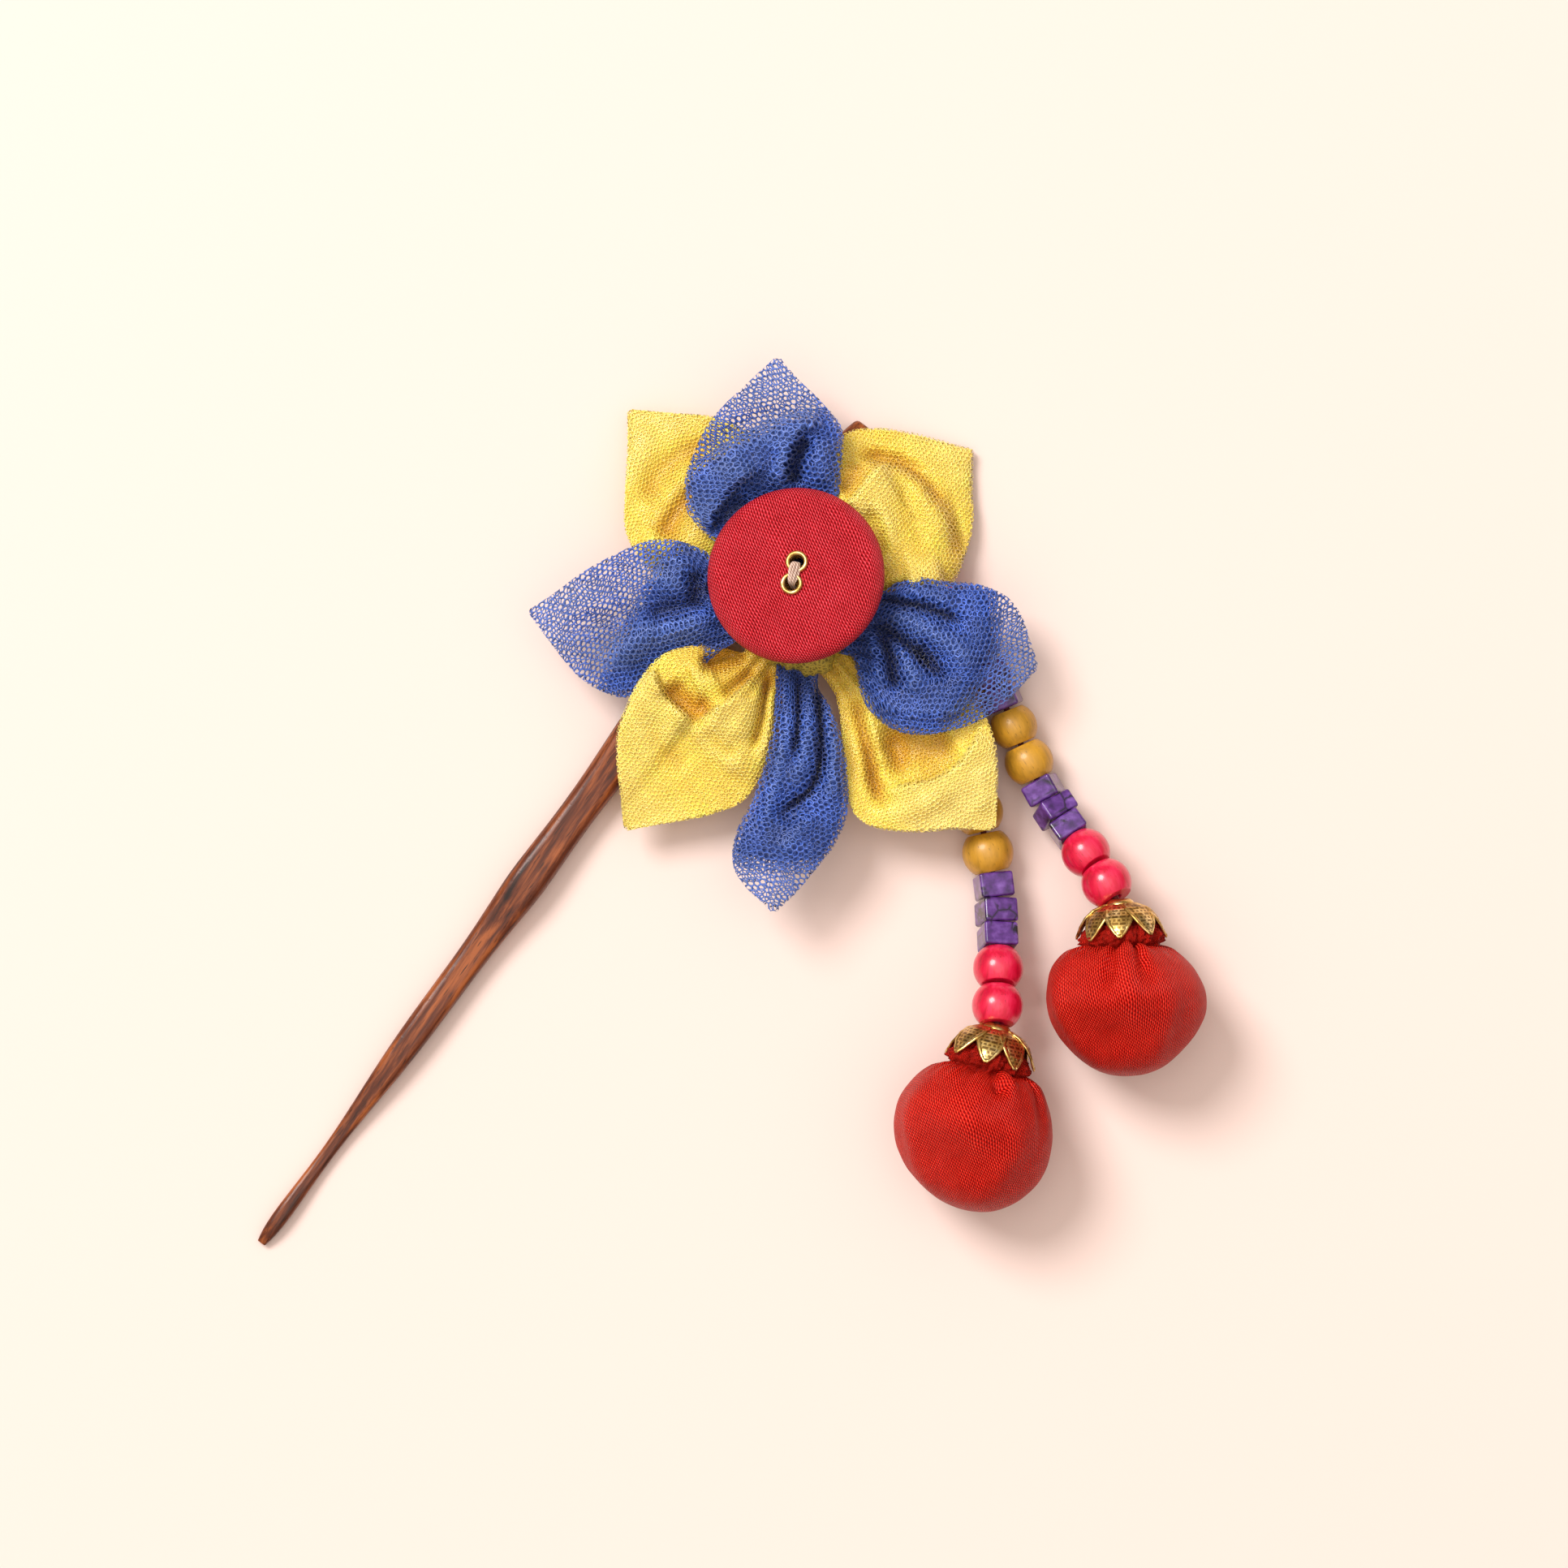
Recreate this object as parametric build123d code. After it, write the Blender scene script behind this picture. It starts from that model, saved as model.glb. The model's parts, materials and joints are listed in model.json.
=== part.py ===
from build123d import *
from collections import namedtuple
from math import cos, exp, pi, radians, sin, sqrt
import os

# A hair stick with a net flower, a covered button and two beaded tassels, lying on a flat surface.
# All sizes are in mm. X runs to the right of the lying object, Y up its length and Z off the surface.
# Places are drawn from one point of the surface, and the whole is moved to its frame at the end.

CLEARANCE = 0.15
CLOTH = 1.1

Station = namedtuple("Station", "along width height")
Row = namedtuple("Row", "along left right")
Fold = namedtuple("Fold", "along across to_along to_across height width")
Bulge = namedtuple("Bulge", "height start left middle right drop")
Rise = namedtuple("Rise", "base belly tip lean edge")
Petal = namedtuple("Petal", "x y turn rise bulge outline folds")
Bead = namedtuple("Bead", "name across length heading slope roll")
Strand = namedtuple("Strand", "name start ball_centre ball_length cap_gap beads end")
Pleat = namedtuple("Pleat", "angle depth width reach")

# The stick tapers from a blunt point to its widest under the flower and ends in a small rounded head.
STICK_TIP = (-83.6, -73.4)
STICK_HEAD = (12.8, 57.5)
STICK = [
    Station(along=0.0, width=1.4, height=1.4),
    Station(along=1.2, width=1.9, height=1.9),
    Station(along=12.0, width=2.3, height=2.3),
    Station(along=28.0, width=3.1, height=3.0),
    Station(along=47.0, width=4.6, height=4.2),
    Station(along=71.0, width=6.1, height=5.4),
    Station(along=98.0, width=6.5, height=5.9),
    Station(along=128.0, width=6.2, height=5.8),
    Station(along=150.0, width=4.9, height=4.9),
    Station(along=160.0, width=3.9, height=4.0),
    Station(along=162.5, width=2.6, height=2.8),
]
STICK_CORNER = 0.3
STICK_HEAD_ROUNDING = 0.9

# The gathered pad in the middle of the flower rests on the stick and carries the petals.
CORE_CENTRE = (2.4, 25.9)
CORE_RADIUS = 9.3
CORE_BOTTOM = 6.4
CORE_SIDE_TOP = 13.0
CORE_TOP = 16.5

# The covered button is a disc with a full rounded rim. It leans on the upper left petals.
BUTTON_FACE = (1.6, 33.1, 21.8)
BUTTON_LEAN = 11.5
BUTTON_LEAN_TOWARDS = 128.0
BUTTON_RADIUS = 14.0
BUTTON_THICK = 4.8
BUTTON_DOME = 0.5
BUTTON_RIM = 2.1
BUTTON_BACK_RADIUS = 11.2

EYELET_RADIUS = 1.72
EYELET_HOLE = 1.1
EYELET_TUBE = 1.35
EYELET_LENGTH = 3.0
EYELET_ROLL = 0.55
EYELET_APART = 3.56
EYELET_TURN = 76.4
THREAD_BUNDLE = 0.85

# Each petal is a folded square of net, gathered at the pad. Rows give its outline along its middle.
PETALS = {
    "petal_yellow_upper_left": Petal(
        x=-3.6,
        y=33.5,
        turn=129.0,
        rise=Rise(base=9.2, belly=7.6, tip=5.2, lean=0.08, edge=0.6),
        bulge=Bulge(height=2.4, start=5.0, left=15.0, middle=19.5, right=18.0, drop=4.5),
        outline=[
            Row(along=0.0, left=3.6, right=-3.4),
            Row(along=3.0, left=8.0, right=-6.0),
            Row(along=8.0, left=12.5, right=-9.5),
            Row(along=14.0, left=13.5, right=-12.0),
            Row(along=19.0, left=12.5, right=-12.5),
            Row(along=24.0, left=8.5, right=-10.0),
            Row(along=29.0, left=4.0, right=-5.0),
            Row(along=33.5, left=0.4, right=-0.4),
        ],
        folds=[
            Fold(along=3.0, across=-6.0, to_along=15.0, to_across=-10.0, height=-1.8, width=3.0),
            Fold(along=1.0, across=0.5, to_along=12.0, to_across=3.5, height=0.4, width=1.6),
            Fold(along=6.0, across=8.5, to_along=14.5, to_across=3.0, height=-1.6, width=1.4),
            Fold(along=21.5, across=-8.0, to_along=21.5, to_across=7.0, height=-0.9, width=1.8),
        ],
    ),
    "petal_yellow_upper_right": Petal(
        x=9.3,
        y=32.7,
        turn=45.0,
        rise=Rise(base=9.2, belly=8.1, tip=8.0, lean=0.0, edge=0.8),
        bulge=Bulge(height=3.2, start=0.0, left=8.0, middle=20.5, right=15.5, drop=4.5),
        outline=[
            Row(along=0.0, left=3.4, right=-3.4),
            Row(along=3.0, left=7.0, right=-8.0),
            Row(along=7.0, left=11.5, right=-12.0),
            Row(along=12.0, left=14.5, right=-13.0),
            Row(along=17.0, left=14.5, right=-11.0),
            Row(along=21.0, left=12.0, right=-8.5),
            Row(along=25.0, left=7.5, right=-4.5),
            Row(along=29.3, left=0.4, right=-0.4),
        ],
        folds=[
            Fold(along=4.0, across=8.5, to_along=12.0, to_across=13.0, height=-1.5, width=3.0),
            Fold(along=3.0, across=-7.5, to_along=8.0, to_across=-11.5, height=-0.9, width=2.5),
            Fold(along=2.0, across=1.5, to_along=14.0, to_across=4.5, height=-1.0, width=1.5),
            Fold(along=3.0, across=-2.0, to_along=14.0, to_across=-4.0, height=0.8, width=1.6),
            Fold(along=22.0, across=7.0, to_along=23.0, to_across=-3.0, height=-0.8, width=1.5),
        ],
    ),
    "petal_yellow_lower_left": Petal(
        x=-3.7,
        y=18.5,
        turn=-130.0,
        rise=Rise(base=9.2, belly=9.4, tip=7.4, lean=-0.18, edge=0.6),
        bulge=Bulge(height=2.0, start=0.0, left=15.0, middle=14.0, right=13.0, drop=4.5),
        outline=[
            Row(along=0.0, left=3.4, right=-3.6),
            Row(along=3.0, left=6.5, right=-9.0),
            Row(along=8.0, left=9.5, right=-13.0),
            Row(along=13.0, left=11.0, right=-13.5),
            Row(along=18.0, left=11.5, right=-12.5),
            Row(along=23.0, left=9.0, right=-10.5),
            Row(along=28.0, left=5.0, right=-6.0),
            Row(along=33.5, left=0.4, right=-0.4),
        ],
        folds=[
            Fold(along=2.0, across=-7.0, to_along=10.5, to_across=-11.5, height=2.6, width=2.4),
            Fold(along=9.0, across=-5.3, to_along=10.5, to_across=-5.3, height=-2.6, width=2.4),
            Fold(along=13.5, across=-2.6, to_along=15.5, to_across=6.0, height=1.1, width=1.6),
            Fold(along=3.0, across=1.5, to_along=14.0, to_across=9.0, height=-1.0, width=1.2),
        ],
    ),
    "petal_yellow_lower_right": Petal(
        x=9.1,
        y=18.9,
        turn=-47.0,
        rise=Rise(base=9.2, belly=9.6, tip=9.8, lean=-0.02, edge=0.9),
        bulge=Bulge(height=1.0, start=0.0, left=16.0, middle=12.0, right=18.0, drop=5.0),
        outline=[
            Row(along=0.0, left=3.4, right=-3.4),
            Row(along=3.0, left=6.5, right=-4.0),
            Row(along=8.0, left=9.5, right=-7.5),
            Row(along=13.0, left=10.5, right=-11.5),
            Row(along=18.0, left=11.0, right=-14.5),
            Row(along=22.0, left=11.0, right=-14.0),
            Row(along=27.0, left=8.5, right=-10.0),
            Row(along=31.0, left=5.0, right=-5.0),
            Row(along=35.5, left=0.4, right=-0.4),
        ],
        folds=[
            Fold(along=3.0, across=-1.5, to_along=16.0, to_across=-11.0, height=1.0, width=1.4),
            Fold(along=7.0, across=-2.6, to_along=18.0, to_across=-8.8, height=-1.4, width=1.2),
            Fold(along=19.0, across=0.5, to_along=20.0, to_across=-2.0, height=-0.9, width=4.0),
            Fold(along=25.0, across=5.0, to_along=23.0, to_across=-10.5, height=0.9, width=1.8),
        ],
    ),
    "petal_blue_top": Petal(
        x=1.7,
        y=35.4,
        turn=95.0,
        rise=Rise(base=11.8, belly=11.8, tip=13.4, lean=0.07, edge=0.3),
        bulge=Bulge(height=4.4, start=8.5, left=14.5, middle=20.5, right=22.0, drop=5.0),
        outline=[
            Row(along=0.0, left=3.0, right=-3.6),
            Row(along=3.0, left=10.5, right=-5.5),
            Row(along=8.0, left=15.5, right=-7.5),
            Row(along=14.0, left=16.0, right=-8.5),
            Row(along=20.0, left=13.5, right=-9.0),
            Row(along=24.5, left=10.0, right=-6.5),
            Row(along=28.5, left=5.0, right=-3.0),
            Row(along=32.0, left=0.4, right=-0.4),
        ],
        folds=[
            Fold(along=3.0, across=8.0, to_along=9.0, to_across=12.0, height=1.2, width=3.0),
            Fold(along=20.0, across=-1.8, to_along=11.0, to_across=-4.6, height=-1.5, width=1.0),
            Fold(along=5.0, across=11.5, to_along=13.5, to_across=5.0, height=-1.2, width=1.2),
            Fold(along=13.0, across=2.5, to_along=17.0, to_across=1.5, height=0.8, width=1.8),
        ],
    ),
    "petal_blue_left": Petal(
        x=-7.2,
        y=26.1,
        turn=178.0,
        rise=Rise(base=11.4, belly=10.9, tip=10.4, lean=-0.18, edge=0.0),
        bulge=Bulge(height=0.8, start=0.0, left=20.0, middle=16.0, right=8.0, drop=5.0),
        outline=[
            Row(along=0.0, left=3.3, right=-3.3),
            Row(along=3.0, left=5.0, right=-8.0),
            Row(along=8.0, left=10.0, right=-11.5),
            Row(along=14.0, left=12.5, right=-12.0),
            Row(along=20.0, left=12.5, right=-9.5),
            Row(along=25.0, left=10.0, right=-6.5),
            Row(along=29.5, left=5.0, right=-3.0),
            Row(along=33.2, left=0.4, right=-0.4),
        ],
        folds=[
            Fold(along=2.0, across=1.0, to_along=21.0, to_across=6.0, height=1.5, width=2.2),
            Fold(along=5.0, across=-3.4, to_along=19.0, to_across=-2.2, height=-1.2, width=1.8),
            Fold(along=4.0, across=-6.5, to_along=16.0, to_across=-8.0, height=0.7, width=1.6),
        ],
    ),
    "petal_blue_bottom": Petal(
        x=1.6,
        y=16.2,
        turn=-95.0,
        rise=Rise(base=11.8, belly=13.4, tip=15.4, lean=0.0, edge=-0.4),
        bulge=Bulge(height=1.2, start=0.0, left=22.0, middle=22.0, right=22.0, drop=6.0),
        outline=[
            Row(along=0.0, left=3.4, right=-3.0),
            Row(along=3.0, left=5.5, right=-2.6),
            Row(along=8.0, left=8.0, right=-2.6),
            Row(along=14.0, left=9.5, right=-3.5),
            Row(along=20.0, left=10.0, right=-5.0),
            Row(along=25.0, left=8.5, right=-7.0),
            Row(along=30.0, left=5.5, right=-7.0),
            Row(along=33.5, left=3.0, right=-4.3),
            Row(along=36.4, left=0.4, right=-0.4),
        ],
        folds=[
            Fold(along=0.0, across=-1.0, to_along=20.0, to_across=-1.8, height=1.0, width=1.1),
            Fold(along=0.0, across=2.2, to_along=20.0, to_across=4.5, height=1.4, width=1.1),
            Fold(along=3.0, across=5.7, to_along=18.5, to_across=8.3, height=1.0, width=1.1),
            Fold(along=14.0, across=5.6, to_along=20.0, to_across=2.0, height=-1.2, width=1.1),
        ],
    ),
    "petal_blue_right": Petal(
        x=11.9,
        y=23.9,
        turn=-11.0,
        rise=Rise(base=11.8, belly=13.2, tip=11.8, lean=0.0, edge=-0.3),
        bulge=Bulge(height=1.8, start=0.0, left=18.0, middle=20.0, right=14.0, drop=5.0),
        outline=[
            Row(along=0.0, left=3.3, right=-3.8),
            Row(along=2.5, left=7.0, right=-9.5),
            Row(along=7.0, left=10.0, right=-13.5),
            Row(along=12.0, left=10.5, right=-14.0),
            Row(along=17.0, left=11.0, right=-12.5),
            Row(along=22.0, left=10.0, right=-9.5),
            Row(along=25.5, left=6.5, right=-5.5),
            Row(along=28.7, left=0.4, right=-0.4),
        ],
        folds=[
            Fold(along=3.0, across=6.4, to_along=14.5, to_across=5.8, height=-1.5, width=1.0),
            Fold(along=2.5, across=3.6, to_along=15.0, to_across=3.4, height=1.2, width=1.2),
            Fold(along=4.0, across=-1.2, to_along=8.0, to_across=-6.0, height=-1.8, width=1.6),
            Fold(along=2.5, across=-6.0, to_along=5.0, to_across=-10.5, height=1.0, width=1.6),
        ],
    ),
}
PETAL_STEPS_ALONG = 17
PETAL_STEPS_ACROSS = 12

BORE = 0.9
THREAD_RADIUS = 0.5
BEAD_GAP = 0.4
CUBE_CORNER = 0.45

# The beads of each strand in order from its cap to the flower.
INNER = Strand(
    name="inner",
    start=(33.6, -38.9, 12.75),
    ball_centre=(29.6, -55.1, 13.0),
    ball_length=0.98,
    cap_gap=0.8,
    end=(11.6, 22.9, 7.7),
    beads=[
        Bead("pink_1", across=8.1, length=6.1, heading=87, slope=20, roll=0),
        Bead("pink_2", across=8.0, length=5.9, heading=89, slope=26, roll=40),
        Bead("purple_1", across=5.5, length=3.8, heading=92, slope=21, roll=14),
        Bead("purple_2", across=5.6, length=3.8, heading=93, slope=14, roll=18),
        Bead("purple_3", across=5.5, length=3.9, heading=97, slope=8, roll=12),
        Bead("yellow_1", across=8.2, length=6.2, heading=102, slope=1, roll=0),
        Bead("yellow_2", across=8.0, length=6.3, heading=105, slope=0, roll=70),
        Bead("purple_4", across=5.5, length=4.0, heading=108, slope=0, roll=10),
        Bead("purple_5", across=5.4, length=4.0, heading=113, slope=0, roll=20),
        Bead("purple_6", across=5.5, length=4.0, heading=117, slope=0, roll=5),
        Bead("pink_3", across=8.0, length=6.2, heading=121, slope=0, roll=0),
        Bead("pink_4", across=8.0, length=6.2, heading=122, slope=-2, roll=0),
    ],
)
OUTER = Strand(
    name="outer",
    start=(53.2, -19.2, 12.4),
    ball_centre=(54.2, -35.2, 13.0),
    ball_length=0.88,
    cap_gap=1.2,
    end=(11.8, 27.9, 7.7),
    beads=[
        Bead("pink_1", across=8.0, length=5.9, heading=121, slope=20, roll=25),
        Bead("pink_2", across=7.8, length=5.8, heading=126, slope=26, roll=0),
        Bead("purple_1", across=5.3, length=3.5, heading=125, slope=21, roll=8),
        Bead("purple_2", across=5.6, length=3.3, heading=123, slope=14, roll=24),
        Bead("purple_3", across=5.3, length=3.5, heading=119, slope=7, roll=-16),
        Bead("yellow_1", across=7.8, length=5.8, heading=115, slope=1, roll=0),
        Bead("yellow_2", across=7.5, length=5.6, heading=112, slope=0, roll=0),
        Bead("purple_4", across=5.3, length=3.7, heading=112, slope=0, roll=-12),
        Bead("purple_5", across=5.3, length=3.7, heading=117, slope=0, roll=6),
        Bead("purple_6", across=5.3, length=3.8, heading=124, slope=0, roll=15),
        Bead("pink_3", across=8.0, length=6.1, heading=131, slope=0, roll=0),
        Bead("pink_4", across=8.0, length=6.1, heading=139, slope=-2, roll=0),
    ],
)

BALL_RADIUS = 13.0
NECK_RADIUS = 2.7
NECK_BELOW_CAP = 1.6
BALL_AROUND = 28
BALL_PLEATS = [
    Pleat(angle=15, depth=0.10, width=13, reach=62),
    Pleat(angle=58, depth=0.07, width=11, reach=48),
    Pleat(angle=95, depth=0.13, width=12, reach=75),
    Pleat(angle=140, depth=0.08, width=12, reach=50),
    Pleat(angle=190, depth=0.10, width=14, reach=60),
    Pleat(angle=238, depth=0.07, width=12, reach=52),
    Pleat(angle=280, depth=0.12, width=13, reach=70),
    Pleat(angle=325, depth=0.08, width=12, reach=50),
]

CAP_WALL = 0.45
CAP_LEAVES = 6
CAP_LENGTH = 5.6
CAP_RADIUS = 6.7
CAP_LEAF_FROM = 1.9


def step(value):
    """0 below 0, 1 above 1 and a soft step between."""
    value = min(max(value, 0.0), 1.0)
    return value * value * (3 - 2 * value)


def read(rows, along, column):
    """A column of the rows at a place along them, through smooth cubic pieces."""
    last = len(rows) - 1
    at = 0
    while at < last - 1 and along > rows[at + 1].along:
        at += 1

    def slope(i):
        low = rows[max(i - 1, 0)]
        high = rows[min(i + 1, last)]
        return (getattr(high, column) - getattr(low, column)) / (high.along - low.along)

    a = rows[at]
    b = rows[at + 1]
    span = b.along - a.along
    t = min(max((along - a.along) / span, 0.0), 1.0)
    start = getattr(a, column)
    end = getattr(b, column)
    if at + 1 == last:
        return start + (end - start) * t
    rise = (2 * t**3 - 3 * t**2 + 1) * start + (3 * t**2 - 2 * t**3) * end
    return rise + span * ((t**3 - 2 * t**2 + t) * slope(at) + (t**3 - t**2) * slope(at + 1))


def through_three(first, middle, last, t):
    """The parabola through three values at 0, 0.5 and 1."""
    return first * (2 * t - 1) * (t - 1) + middle * 4 * t * (1 - t) + last * t * (2 * t - 1)


def fold_height(fold, along, across):
    run = fold.to_along - fold.along
    side = fold.to_across - fold.across
    square = run * run + side * side
    t = 0.0
    if square > 0:
        t = ((along - fold.along) * run + (across - fold.across) * side) / square
        t = min(max(t, 0.0), 1.0)
    off_along = along - fold.along - t * run
    off_across = across - fold.across - t * side
    return fold.height * exp(-(off_along**2 + off_across**2) / (2 * fold.width**2))


def petal_height(petal, along, across):
    """Height of the middle of the cloth at a place on the petal."""
    length = petal.outline[-1].along
    left = read(petal.outline, along, "left")
    right = read(petal.outline, along, "right")
    t = min(max((across - right) / max(left - right, 0.5), 0.0), 1.0)
    rise = petal.rise
    height = through_three(rise.base, rise.belly, rise.tip, along / length)
    height += rise.lean * across + rise.edge * abs(2 * t - 1) ** 3 * step(along / 8)
    bulge = petal.bulge
    reach = through_three(bulge.right, bulge.middle, bulge.left, t)
    dome = step((reach - along) / bulge.drop + 0.5) * step((along - bulge.start) / 7)
    height += bulge.height * dome * (1 - 0.6 * abs(2 * t - 1) ** 3)
    for fold in petal.folds:
        height += fold_height(fold, along, across) * step((length - along) / 5)
    return height


def petal_surfaces(petal):
    """The top and bottom grids of a petal, a row for each step along it."""
    length = petal.outline[-1].along
    turn = radians(petal.turn)
    top = []
    bottom = []
    for i in range(PETAL_STEPS_ALONG + 1):
        along = length * i / PETAL_STEPS_ALONG
        left = read(petal.outline, along, "left")
        right = read(petal.outline, along, "right")
        top.append([])
        bottom.append([])
        for j in range(PETAL_STEPS_ACROSS + 1):
            across = right + (left - right) * j / PETAL_STEPS_ACROSS
            height = petal_height(petal, along, across)
            tilt_along = petal_height(petal, along + 0.2, across) - petal_height(petal, along - 0.2, across)
            tilt_across = petal_height(petal, along, across + 0.2) - petal_height(petal, along, across - 0.2)
            normal = Vector(-tilt_along / 0.4, -tilt_across / 0.4, 1).normalized()
            for grid, side in ((top, 0.5), (bottom, -0.5)):
                u = along + side * CLOTH * normal.X
                v = across + side * CLOTH * normal.Y
                x = petal.x + u * cos(turn) - v * sin(turn)
                y = petal.y + u * sin(turn) + v * cos(turn)
                grid[-1].append(Vector(x, y, height + side * CLOTH * normal.Z))
    return top, bottom


def triangle(a, b, c):
    return Face(Wire.make_polygon([a, b, c]))


def quad(a, b, c, d):
    return [triangle(a, b, c), triangle(a, c, d)]


def cloth_solid(top, bottom):
    """A closed solid between two grids of the same size."""
    faces = []
    rows = len(top) - 1
    columns = len(top[0]) - 1
    for i in range(rows):
        for j in range(columns):
            faces += quad(top[i][j], top[i + 1][j], top[i + 1][j + 1], top[i][j + 1])
            faces += quad(bottom[i][j], bottom[i][j + 1], bottom[i + 1][j + 1], bottom[i + 1][j])
    for i in range(rows):
        faces += quad(top[i + 1][0], top[i][0], bottom[i][0], bottom[i + 1][0])
        faces += quad(top[i][-1], top[i + 1][-1], bottom[i + 1][-1], bottom[i][-1])
    for j in range(columns):
        faces += quad(top[0][j], top[0][j + 1], bottom[0][j + 1], bottom[0][j])
        faces += quad(top[-1][j + 1], top[-1][j], bottom[-1][j], bottom[-1][j + 1])
    return Solid(Shell(faces))


def ring_solid(low_pole, rings, high_pole):
    """A closed solid of rings of points between two poles."""
    faces = []
    count = len(rings[0])
    for j in range(count):
        k = (j + 1) % count
        faces.append(triangle(low_pole, rings[0][k], rings[0][j]))
        faces.append(triangle(high_pole, rings[-1][j], rings[-1][k]))
        for lower, upper in zip(rings, rings[1:]):
            faces += quad(lower[j], lower[k], upper[k], upper[j])
    return Solid(Shell(faces))


def stick():
    tip = Vector(*STICK_TIP)
    axis = (Vector(*STICK_HEAD) - tip).normalized()
    sections = []
    for station in STICK:
        centre = tip + axis * station.along + Vector(0, 0, station.height / 2)
        plane = Plane(origin=centre, x_dir=(axis.Y, -axis.X, 0), z_dir=axis)
        corner = STICK_CORNER * min(station.width, station.height)
        sections.append(plane * RectangleRounded(station.width, station.height, corner))
    blank = loft(sections)
    head = blank.faces().sort_by(Axis(origin=tip, direction=axis))[-1]
    return fillet(head.edges(), STICK_HEAD_ROUNDING)


def turned(profile):
    """A profile of radius and height, turned about the height and stood up along Z."""
    return Rot(90, 0, 0) * revolve(profile, Axis.Y)


def flower_core():
    side = CORE_SIDE_TOP - CORE_BOTTOM
    middle = CORE_TOP - CORE_BOTTOM
    crown = CORE_RADIUS * 0.4
    corners = [(0, 0), (CORE_RADIUS, 0), (CORE_RADIUS, side), (crown, middle), (0, middle)]
    profile = make_face(Polyline(*corners, close=True))
    rims = [vertex for vertex in profile.vertices() if vertex.X > CORE_RADIUS - 0.1]
    return Pos(CORE_CENTRE[0], CORE_CENTRE[1], CORE_BOTTOM) * turned(fillet(rims, 1.4))


def button_plane():
    lean = radians(BUTTON_LEAN)
    towards = radians(BUTTON_LEAN_TOWARDS)
    normal = Vector(sin(lean) * cos(towards), sin(lean) * sin(towards), cos(lean))
    across = Vector(1, 0, 0) - normal * normal.X
    return Plane(origin=BUTTON_FACE, x_dir=across.normalized(), z_dir=normal)


def eyelet_places():
    turn = radians(EYELET_TURN)
    half = EYELET_APART / 2
    return [(half * cos(turn), half * sin(turn)), (-half * cos(turn), -half * sin(turn))]


def button():
    disc = Cylinder(BUTTON_RADIUS, BUTTON_THICK, align=(Align.CENTER, Align.CENTER, Align.MAX))
    rims = disc.edges().filter_by(GeomType.CIRCLE).sort_by(Axis.Z)
    disc = fillet(rims[-1], BUTTON_RIM)
    back = disc.edges().filter_by(GeomType.CIRCLE).sort_by(Axis.Z)[0]
    disc = chamfer(back, 1.6, BUTTON_RADIUS - BUTTON_BACK_RADIUS)
    recess = Pos(0, 0, -BUTTON_THICK) * Cylinder(BUTTON_BACK_RADIUS - 1.6, 2.0)
    disc -= recess
    for x, y in eyelet_places():
        disc -= Pos(x, y, 0) * Cylinder(EYELET_TUBE + 0.05, 30)
    return button_plane().location * disc


def eyelet(place):
    x, y = place
    roll = EYELET_RADIUS - EYELET_HOLE
    tube = Cylinder(EYELET_TUBE, EYELET_LENGTH, align=(Align.CENTER, Align.CENTER, Align.MAX))
    flange = Pos(0, 0, 0.05) * Cylinder(EYELET_RADIUS, EYELET_ROLL, align=(Align.CENTER, Align.CENTER, Align.MIN))
    flange = fillet(flange.edges().group_by(Axis.Z)[-1], roll * 0.4)
    neck = Cylinder(EYELET_TUBE, 0.2)
    body = tube + flange + neck
    body -= Cylinder(EYELET_HOLE, 30)
    return button_plane().location * (Pos(x, y, 0) * body)


def button_thread():
    """The bundle of sewing thread over the bar between the eyelets and down to the pad."""
    first, second = eyelet_places()
    over = EYELET_ROLL + 0.05 + THREAD_BUNDLE + 0.15
    shrink = 0.9
    a = (first[0] * shrink, first[1] * shrink)
    b = (second[0] * shrink, second[1] * shrink)
    down = -5.7
    path = FilletPolyline((*a, down), (*a, over), (*b, over), (*b, down), radius=1.1)
    start = Plane(origin=(*a, down), z_dir=(0, 0, 1))
    bundle = sweep(start * Circle(THREAD_BUNDLE * 0.75), path=path)
    return button_plane().location * bundle


def strand_joints(strand):
    """The places where each bead of the strand begins, and where the last one ends."""
    joints = []
    place = Vector(*strand.start)
    for number, bead in enumerate(strand.beads):
        heading = radians(bead.heading)
        slope = radians(bead.slope)
        ahead = Vector(cos(slope) * cos(heading), cos(slope) * sin(heading), -sin(slope))
        if number == 0:
            joints.append(place)
            place = place + ahead * strand.cap_gap
        joints.append(place)
        place = place + ahead * (bead.length + BEAD_GAP)
    joints.append(place)
    return joints


def round_bead(bead):
    half = bead.length / 2
    radius = bead.across / 2
    rim = sqrt(radius**2 - half**2)
    outer = ThreePointArc((rim, -half), (radius, 0), (rim, half))
    bore = Polyline((rim, half), (BORE, half), (BORE, -half), (rim, -half))
    profile = make_face([outer, bore])
    return turned(fillet(profile.vertices(), 0.3))


def cube_bead(bead):
    cube = Box(bead.across, bead.across, bead.length)
    cube = fillet(cube.edges(), CUBE_CORNER)
    return cube - Cylinder(BORE, 20)


def strand_beads(strand):
    joints = strand_joints(strand)
    placed = {}
    for bead, start, end in zip(strand.beads, joints[1:], joints[2:]):
        axis = (end - start).normalized()
        side = Vector(axis.Y, -axis.X, 0).normalized()
        plane = Plane(origin=(start + end) / 2, x_dir=side, z_dir=axis)
        shape = cube_bead(bead) if bead.name.startswith("purple") else round_bead(bead)
        placed[strand.name + "_" + bead.name] = plane.location * (Rot(0, 0, bead.roll) * shape)
    return placed


def ball_axis(strand):
    return (Vector(*strand.start) - Vector(*strand.ball_centre)).normalized()


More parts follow.
